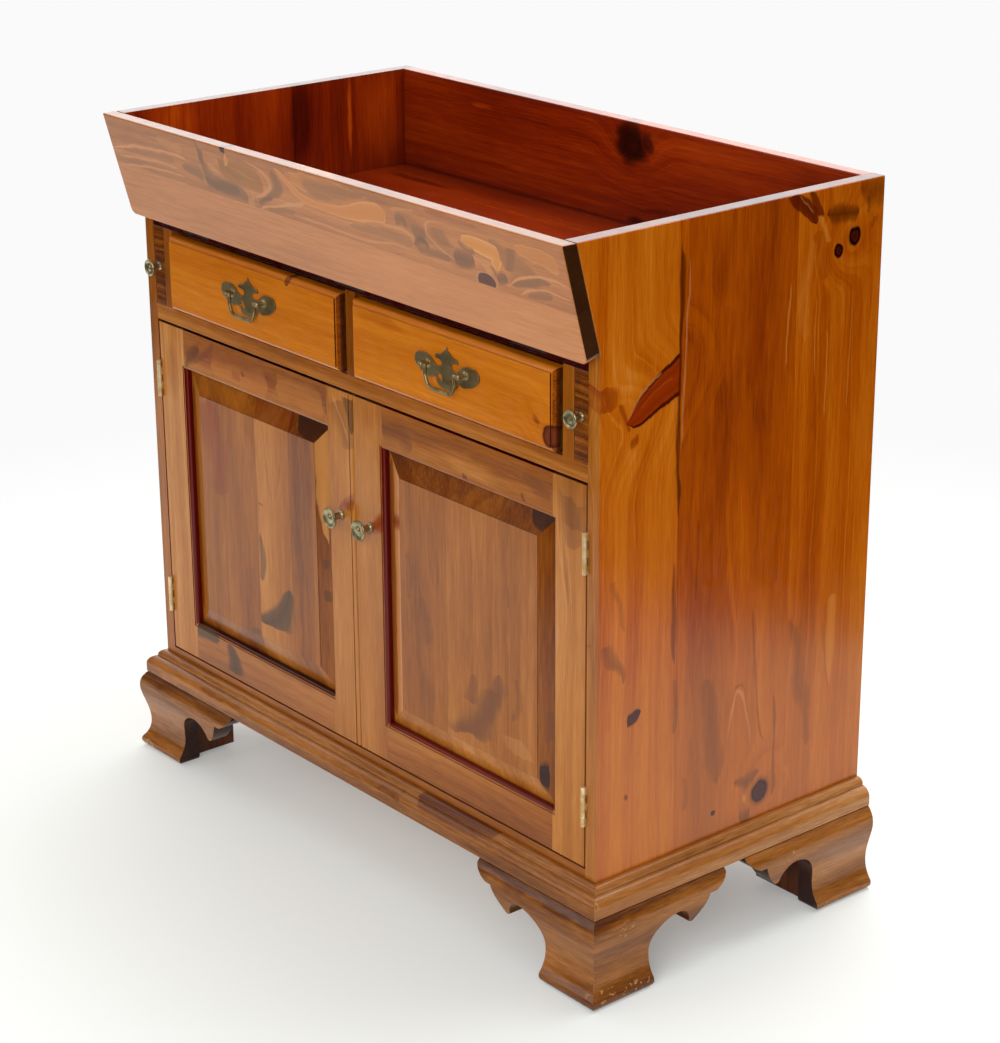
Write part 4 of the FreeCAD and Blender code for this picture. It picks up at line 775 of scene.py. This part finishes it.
# The panels' bevels are lighter or darker by the way they face: partly cut faces that take more stain, partly
# painted light and shade, with the top and right bevels darker and the left ones lighter.
boards["door_left_panel"] = {
    "stain": "doors", "tone": 0.60, "seed": 4.2, "heart": (-200, 120, 0),
    "faces": [(up, 0.12, "doors", 0.10), (rightWay, 0.12, "doors", 0.16), (leftWay, 0.12, "doors", -0.12),
              (down, 0.12, "doors", 0.02)],
    "glue": [{"across": (1, 0, 0), "at": -218, "jump": (60, 40, 900), "tone": -0.22, "seam": 0.05},
             {"across": (1, 0, 0), "at": -143, "jump": (-40, 30, 900), "tone": 0.18, "seam": 0.05}],
    "marks": [
        haze("rust", 0.62, (-322, 545, 26), (-312, 490, 28), (-300, 420, 26)),
        stroke("darkGrey", 1, (-208, 262, 26), (-182, 276, 26), (-160, 302, 18), (-150, 328, 8), side=(0, 1)),
        stroke("darkGrey", 0.7, (-214, 390, 3), (-208, 352, 8), (-212, 322, 5), side=(0, 1)),
        haze("darkGrey", 0.5, (-225, 250, 12), (-232, 225, 14)),
        stroke("shade", 0.5, (-198, 545, 1), (-192, 470, 1.4), (-182, 436, 1)),
        stroke("shade", 0.5, (-158, 545, 1), (-166, 480, 1.4), (-178, 442, 1)),
        stroke("shade", 1, (-216, 430, 1.5), (-204, 430, 1.5)),
        haze("purple", 0.3, (-120, 500, 14), (-112, 430, 12)),
        # the top bevel: painted shade, with its grain
        stroke("glow", 0.22, (-350, 566, 26), (-240, 566, 26), way=up, side=(0, 0)),
        stroke("feather", 0.6, (-225, 566, 30), (-135, 566, 30), way=up, side=(0, 1)),
        stroke("ink", 1, (-128, 570, 20), (-60, 570, 34), way=up, side=(1, 1)),
        # the right bevel: painted light and shade, with its grain
        haze("pale", 0.9, (-72, 570, 22), (-72, 500, 20), (-70, 410, 3), way=rightWay),
        stroke("darkGrey", 0.7, (-72, 392, 6), (-74, 380, 5), way=rightWay),
        stroke("darkGrey", 0.7, (-72, 350, 8), (-72, 335, 7), way=rightWay),
        stroke("stick", 0.5, (-366, 230, 5), (-366, 560, 5), way=leftWay)]}
boards["door_right_panel"] = {
    "stain": "doors", "tone": 0.53, "seed": 5.9, "heart": (190, 150, 0),
    "faces": [(up, 0.12, "doors", 0.20), (rightWay, 0.12, "doors", 0.12), (leftWay, 0.12, "doors", -0.28),
              (down, 0.12, "doors", -0.12)],
    "glue": [{"across": (1, 0, 0), "at": 176, "jump": (60, 40, 900), "tone": -0.06, "seam": 0.04},
             {"across": (1, 0, 0), "at": 262, "jump": (-40, 30, 900), "tone": 0.04, "seam": 0.04}],
    "marks": [
        haze("darkGrey", 0.35, (262, 330, 20), (240, 285, 28), (212, 252, 22)),
        # the left bevel lightened all along: painted light
        stroke("vein", 0.75, (90, 222, 32), (90, 572, 32), way=leftWay),
        # painted shadow of the knob, where it hides the varnish's reflection
        stroke("rust", 1, (66, 484, 10), (88, 488, 12), (108, 492, 9), way=leftWay),
        haze("purple", 0.45, (102, 456, 5), (104, 420, 7), (102, 396, 4)),
        haze("purple", 0.5, (126, 408, 11), (138, 370, 9), (142, 342, 5)),
        stroke("purple", 0.5, (158, 474, 2.5), (161, 430, 3)),
        haze("purple", 0.8, (276, 352, 9), (264, 312, 22), (242, 277, 25), (215, 256, 24), (190, 250, 14)),
        haze("purple", 0.7, (222, 338, 6), (222, 300, 11)),
        haze("purple", 0.5, (304, 356, 5), (309, 322, 7), (304, 300, 4)),
        haze("purple", 0.35, (120, 290, 26), (150, 262, 24)),
        haze("pale", 0.3, (300, 278, 15), (314, 260, 20)),
        stroke("pale", 0.4, (205, 232, 5), (222, 230, 8), way=down),
        stroke("purple", 0.6, (290, 470, 2), (291, 440, 3)),
        # the top and right bevels darkened: painted shade
        haze("ink", 0.95, (330, 572, 18), (378, 572, 30), way=up),
        haze("purple", 0.7, (357, 330, 10), (362, 290, 6), way=rightWay),
        stroke("blueKnot", 1, (346, 248, 10), (360, 246, 14)),
        stroke("stick", 0.55, (64, 222, 7), (64, 566, 7), way=leftWay)]}
boards["door_left_stiles"] = {
    "stain": "doors", "tone": 0.30, "seed": 1.7,
    "marks": [
        # painted shadow of the knob, where it hides the varnish's reflection
        stroke("rust", 0.9, (-34, 476, 4), (-18, 485, 9), (-2, 491, 13)),
        spot((-374, -190, 390), (9, 60, 500), look="stick", way=rightWay),
        spot((-56, -190, 390), (9, 60, 500), look="stick", way=leftWay),
        haze("purple", 0.5, (-34, 612, 24), (-24, 580, 20), (-12, 556, 10)),
        stroke("darkGrey", 0.8, (-10, 624, 14), (-6, 600, 9), (-4, 578, 3)),
        stroke("vein", 0.5, (-44, 622, 1.5), (-32, 604, 2), (-20, 588, 2), (-12, 568, 1.5)),
        stroke("streak", 0.6, (-57, 628, 3), (-56, 590, 2.5)),
        spot((-402, -190, 570), (20, 40, 50), tone=0.12)]}
boards["door_right_stiles"] = {
    "stain": "doors", "tone": 0.32, "seed": 2.9,
    "marks": [
        # painted shadow of the knob, where it hides the varnish's reflection
        stroke("rust", 1, (20, 460, 4), (36, 469, 9), (56, 479, 12)),
        haze("shade", 0.55, (400, 640, 40), (404, 590, 30), (408, 550, 16)),
        spot((56, -190, 390), (9, 60, 500), look="stick", way=rightWay),
        spot((374, -190, 390), (9, 60, 500), look="stick", way=leftWay),
        haze("purple", 0.6, (404, 612, 28), (406, 576, 20)),
        stroke("vein", 0.4, (380, 576, 1.4), (384, 540, 2.2), (392, 500, 2.8), (396, 462, 2.2),
            (395, 440, 1)),
        stroke("vein", 0.35, (394, 560, 1), (400, 520, 2), (405, 480, 1.5)),
        stroke("purple", 0.4, (388, 560, 2), (394, 520, 3), (400, 480, 2)),
        spot((28, -190, 620), (40, 40, 40), tone=0.08)]}
boards["door_left_rails"] = {
    "stain": "doors", "grain": "x", "tone": 0.46, "seed": 3.1, "faces": [(up, 0.3, "oldPolishAndShadow", 0.32)],
    "marks": [
        haze("glow", 0.5, (-160, 604, 20), (-110, 604, 24), (-62, 604, 18)),
        haze("streak", 0.75, (-370, 586, 12), (-356, 598, 13), (-338, 612, 8)),
        haze("shade", 0.7, (-350, 588, 4), (-326, 606, 7), (-304, 624, 6)),
        haze("rust", 0.32, (-340, 600, 20), (-250, 602, 24), (-160, 604, 20)),
        haze("glow", 0.45, (-312, 596, 18), (-250, 594, 20), (-180, 600, 22)),
        haze("rust", 0.5, (-262, 594, 8), (-244, 590, 6)),
        stroke("greyKnot", 0.6, (-238, 604, 2.5), (-236, 598, 2.5)),
        stroke("darkGrey", 1, (-372, 203, 12), (-345, 204, 11), (-318, 203, 6)),
        stroke("darkGrey", 1, (-292, 206, 9), (-282, 186, 17), (-280, 166, 20))]}
boards["door_right_rails"] = {
    "stain": "doors", "grain": "x", "tone": 0.51, "seed": 4.4, "faces": [(up, 0.3, "oldPolishAndShadow", 0.0)],
    "marks": [
        spot((210, -190, 598), (80, 40, 18), tone=-0.15, wobble="soft"),
        haze("purple", 0.6, (58, 604, 14), (90, 600, 16), (120, 593, 12)),
        haze("purple", 0.5, (322, 612, 8), (350, 602, 16), (372, 600, 12)),
        stroke("greyKnot", 0.6, (211, 584, 3), (220, 581, 3)),
        stroke("greyKnot", 0.5, (319, 590, 2), (322, 581, 3))]}
boards["rail_front"] = {"stain": "doors", "grain": "x", "tone": 0.42, "seed": 5.2}
boards["bottom_board"] = {"stain": "doors", "grain": "x", "tone": 0.50, "seed": 6.6}
boards["moulding_front"] = {
    **baseWood, "grain": "x", "tone": 0.36, "seed": 7.3,
    "marks": [
        spot((0, -214, 120), (900, 60, 9), tone=0.12),
        stroke("streak", 1, (130, 142, 10), (175, 144, 16), (225, 147, 18), (285, 150, 10)),
        haze("streak", 0.5, (60, 132, 4), (110, 134, 5)),
        haze("wash", 0.6, (-440, 120, 7), (-330, 121, 7), (-240, 120, 6)),
        spot((400, -214, 130), (110, 60, 30), tone=-0.06),
        spot((472, -214, 140), (7, 12, 22), look="chips", specks=5.0)]}
boards["mouldings_side"] = {
    **baseWood, "grain": "y", "tone": 0.28, "seed": 8.1,
    "marks": [
        spot((472, -214, 140), (9, 12, 22), look="chips", specks=5.0),
        spot((472, -175, 148), (14, 16, 3), look="chips", specks=4.0),
        spot((472, -90, 146), (14, 4, 2), look="chips")]}
feet = {                       # tones under the moulding, at the waist and at the toe, and chipped places; faces that turn in under the case are painted dark as shade
    "foot_front_right": {
        "corner": ((1, 1, 0), 258.6), "seed": 9.4, "tones": (0.26, -0.02, 0.22),
        "chips": [((470, -200, 14), (22, 22, 11), 6.0), ((478, -158, 12), (10, 34, 7), 5.0),
                  ((478, -170, 92), (9, 14, 12), 6.0)]},
    "foot_front_left": {
        "corner": ((-1, 1, 0), 258.6), "seed": 10.2, "tones": (0.2, -0.1, -0.04),
        "chips": [((-462, -216, 8), (20, 14, 7), 5.0)], "faces": [(rightWay, 0.5, "base", 0.55)]},
    "foot_rear_right": {
        "corner": ((1, 0, 0), 448.0), "seed": 11.1, "tones": (0.0, -0.2, -0.06),
        "chips": [((480, 170, 6), (12, 30, 6), 5.0), ((478, 100, 92), (9, 14, 10), 6.0)],
        "faces": [(frontWay, 0.5, "base", 0.6)]},
    "foot_rear_left": {
        "corner": ((-1, 0, 0), 448.0), "seed": 12.5, "tones": (0.1, -0.1, 0.0), "chips": [],
        "faces": [(rightWay, 0.5, "base", 0.55)]},
}
for nodeName, foot in feet.items():
    top, waist, toe = foot["tones"]
    marks = [
        spot((0, 0, 113), (2000, 2000, 17), tone=top, core=0.2, wobble="soft"),
        spot((0, 0, 54), (2000, 2000, 26), tone=waist, core=0.1),
        spot((0, 0, 6), (2000, 2000, 30), tone=toe, core=0.2, wobble="soft")]
    marks += [spot(at, size, look="chips", specks=specks) for at, size, specks in foot["chips"]]
    boards[nodeName] = {
        **baseWood, "grain": "x", "tone": 0.42, "wear": ("#c89c68", 0.6), "corner": foot["corner"],
        "seed": foot["seed"], "marks": marks, "faces": foot.get("faces", [])}
for side, sign in (("left", -1), ("right", 1)):   # the front of a loper is end grain, with its rings showing
    boards["loper_" + side] = {
        "stain": "doors", "grain": "y", "tone": 0.72, "heart": (sign * 396, 712, 0), "year": 3.6,
        "sway": (1.0, 40, 400), "yearDepth": 0.16, "lineDepth": 0.2, "endDepth": 0.0, "seed": 2.0 + sign}
plainBoards = {                # grain, stain and tone of the boards without marks of their own
    "rail_back": ("x", "plain", 0.45), "lower_back_panel": ("z", "plain", 0.5),
    "drawer_runners": ("y", "plain", 0.45), "loper_dividers": ("z", "doors", 0.52),
    "centre_divider": ("z", "doors", 0.6), "drawer_guides": ("y", "plain", 0.4),
    "drawer_stops": ("x", "plain", 0.4), "shelf": ("x", "plain", 0.45), "shelf_cleats": ("y", "plain", 0.45),
    # the foot blocks' dark tone is painted shade: they sit in the shadow under the case
    "base_rails": ("x", "plain", 0.5), "foot_blocks": ("z", "base", 0.8),
    "drawer_left_sides": ("y", "plain", 0.45), "drawer_right_sides": ("y", "plain", 0.42),
    "drawer_left_back": ("x", "plain", 0.48), "drawer_right_back": ("x", "plain", 0.44),
    "drawer_left_bottom": ("x", "plain", 0.36), "drawer_right_bottom": ("x", "plain", 0.38),
}
for index, (nodeName, (grain, stain, tone)) in enumerate(plainBoards.items()):
    boards[nodeName] = {"grain": grain, "stain": stain, "tone": tone, "seed": 0.6 * index + 0.2}
for nodeName in ("drawer_left_sides", "drawer_right_sides", "centre_divider"):
    boards[nodeName]["creviceDepth"] = 0.93    # painted shade: the gaps beside the drawers are darkened hard
    if "sides" in nodeName:                    # the ends of the sides, seen in the gaps, are painted dark as shade
        boards[nodeName]["marks"] = [spot((0, -187, 712), (900, 17, 90), look="ink")]
for nodeName, look in boards.items():
    dress(nodeName, pineBoard("stained pine, " + nodeName.replace("_", " "), look))
print("boards stained")


# metal
# Cast brass plates and bails, dipped to look old: dull olive brown, with softer light than new brass.
# Turned brass knobs, gone grey-green, their faces a little polished by fingers.
# Rolled brass hinges and ball catches under old lacquer: pale, almost cream where the light falls.
# The fall's brass hinges, blackened: nearly as dark as the gap that they lie in.
# Zinc-plated steel strikes: grey, fairly matt.
metals = {                     # spots' size in mm
    "brass, dipped and aged": {
        "light": "#a08a5e", "dark": "#75633f", "edge": "#c8b48a", "rough": (0.28, 0.42), "spot": 14.0,
        "metallic": 0.9},
    "brass, turned, tarnished": {
        "light": "#b3a47c", "dark": "#6f6445", "edge": "#cfc09a", "rough": (0.26, 0.42), "spot": 9.0,
        "metallic": 0.9},
    "brass, rolled and lacquered": {
        "light": "#f0dcb2", "dark": "#c9a468", "edge": "#f6e6c4", "rough": (0.32, 0.5), "spot": 12.0,
        "metallic": 0.6},
    "brass, blackened": {
        "light": "#34291f", "dark": "#1e1610", "edge": "#5a4a38", "rough": (0.4, 0.55), "spot": 8.0,
        "metallic": 0.6},
    "steel, zinc plated": {
        "light": "#b9bcbe", "dark": "#909498", "edge": "#d0d2d4", "rough": (0.35, 0.5), "spot": 8.0,
        "metallic": 1.0},
}
metalWear = {
    "spots": (0.35, 0.65),     # of the noise, between light and dark metal
    "edge": (0.5, 0.99, 0.85, 0.6),              # radius, cosines where rubbing begins and is full, depth
    "grime": ("#241a0c", 2.5, 0.2, 0.7, 0.6),    # reach, open shares where it is full and ends, depth
}


def metal(name, look, wear):
    material, tree = newMaterial(name)
    place = addNode(tree, "TexCoord").outputs["Object"]
    spots = addNode(tree, "TexNoise", {"Vector": place, "Scale": 1000 / look["spot"], "Detail": 4.0})
    share = levels(tree, spots, *wear["spots"], 0.0, 1.0)
    colour = addNode(tree, "Mix", {0: share, 6: linearColour(look["light"]), 7: linearColour(look["dark"])},
                     data_type="RGBA")
    softEdge, rub = roundEdges(tree, *wear["edge"])
    colour = addNode(tree, "Mix", {0: rub, 6: colour, 7: linearColour(look["edge"])}, data_type="RGBA")
    colour = hollowGrimeAndShade(tree, colour, *wear["grime"])
    rough = levels(tree, spots, noiseLow, noiseHigh, *look["rough"])
    shader = addNode(tree, "BsdfPrincipled", {"Base Color": colour, "Roughness": rough,
                                              "Metallic": look["metallic"], "Normal": softEdge})
    addNode(tree, "OutputMaterial", {0: shader})
    return material


# plastic
# Injection-moulded ABS catches, dark brown, and turned nylon glides, cream; both with a faint mottle.
plastics = {
    "ABS, moulded, brown": {"light": "#3a2618", "dark": "#2e1d12", "rough": 0.42},
    "nylon, turned, cream": {"light": "#e6d6b4", "dark": "#d8c49c", "rough": 0.38},
}
mottleSize, mottleHeight = 2.5, 0.1


def plastic(name, look):
    material, tree = newMaterial(name)
    place = addNode(tree, "TexCoord").outputs["Object"]
    mottle = addNode(tree, "TexNoise", {"Vector": place, "Scale": 1000 / mottleSize, "Detail": 2.0})
    colour = addNode(tree, "Mix", {0: mottle, 6: linearColour(look["light"]), 7: linearColour(look["dark"])},
                     data_type="RGBA")
    bump = addNode(tree, "Bump", {"Strength": 0.08, "Distance": mottleHeight * mm, "Height": mottle})
    shader = addNode(tree, "BsdfPrincipled", {"Base Color": colour, "Roughness": look["rough"], "IOR": 1.53,
                                              "Normal": bump})
    addNode(tree, "OutputMaterial", {0: shader})
    return material


finishes = {name: metal(name, look, metalWear) for name, look in metals.items()}
finishes.update({name: plastic(name, look) for name, look in plastics.items()})
fittings = {                   # part of a node's name, and its finish
    "_pull": "brass, dipped and aged", "_bail": "brass, dipped and aged", "knob": "brass, turned, tarnished",
    "door_left_hinge": "brass, rolled and lacquered", "door_right_hinge": "brass, rolled and lacquered",
    "door_hinge": "brass, rolled and lacquered", "fall_hinge": "brass, blackened",
    "fall_catches": "brass, rolled and lacquered", "_strike": "steel, zinc plated",
    "door_catches": "ABS, moulded, brown", "drawer_glides": "nylon, turned, cream",
}
for nodeName in nodes:
    for part, finish in fittings.items():
        if part in nodeName:
            dress(nodeName, finishes[finish])
print("fittings finished")
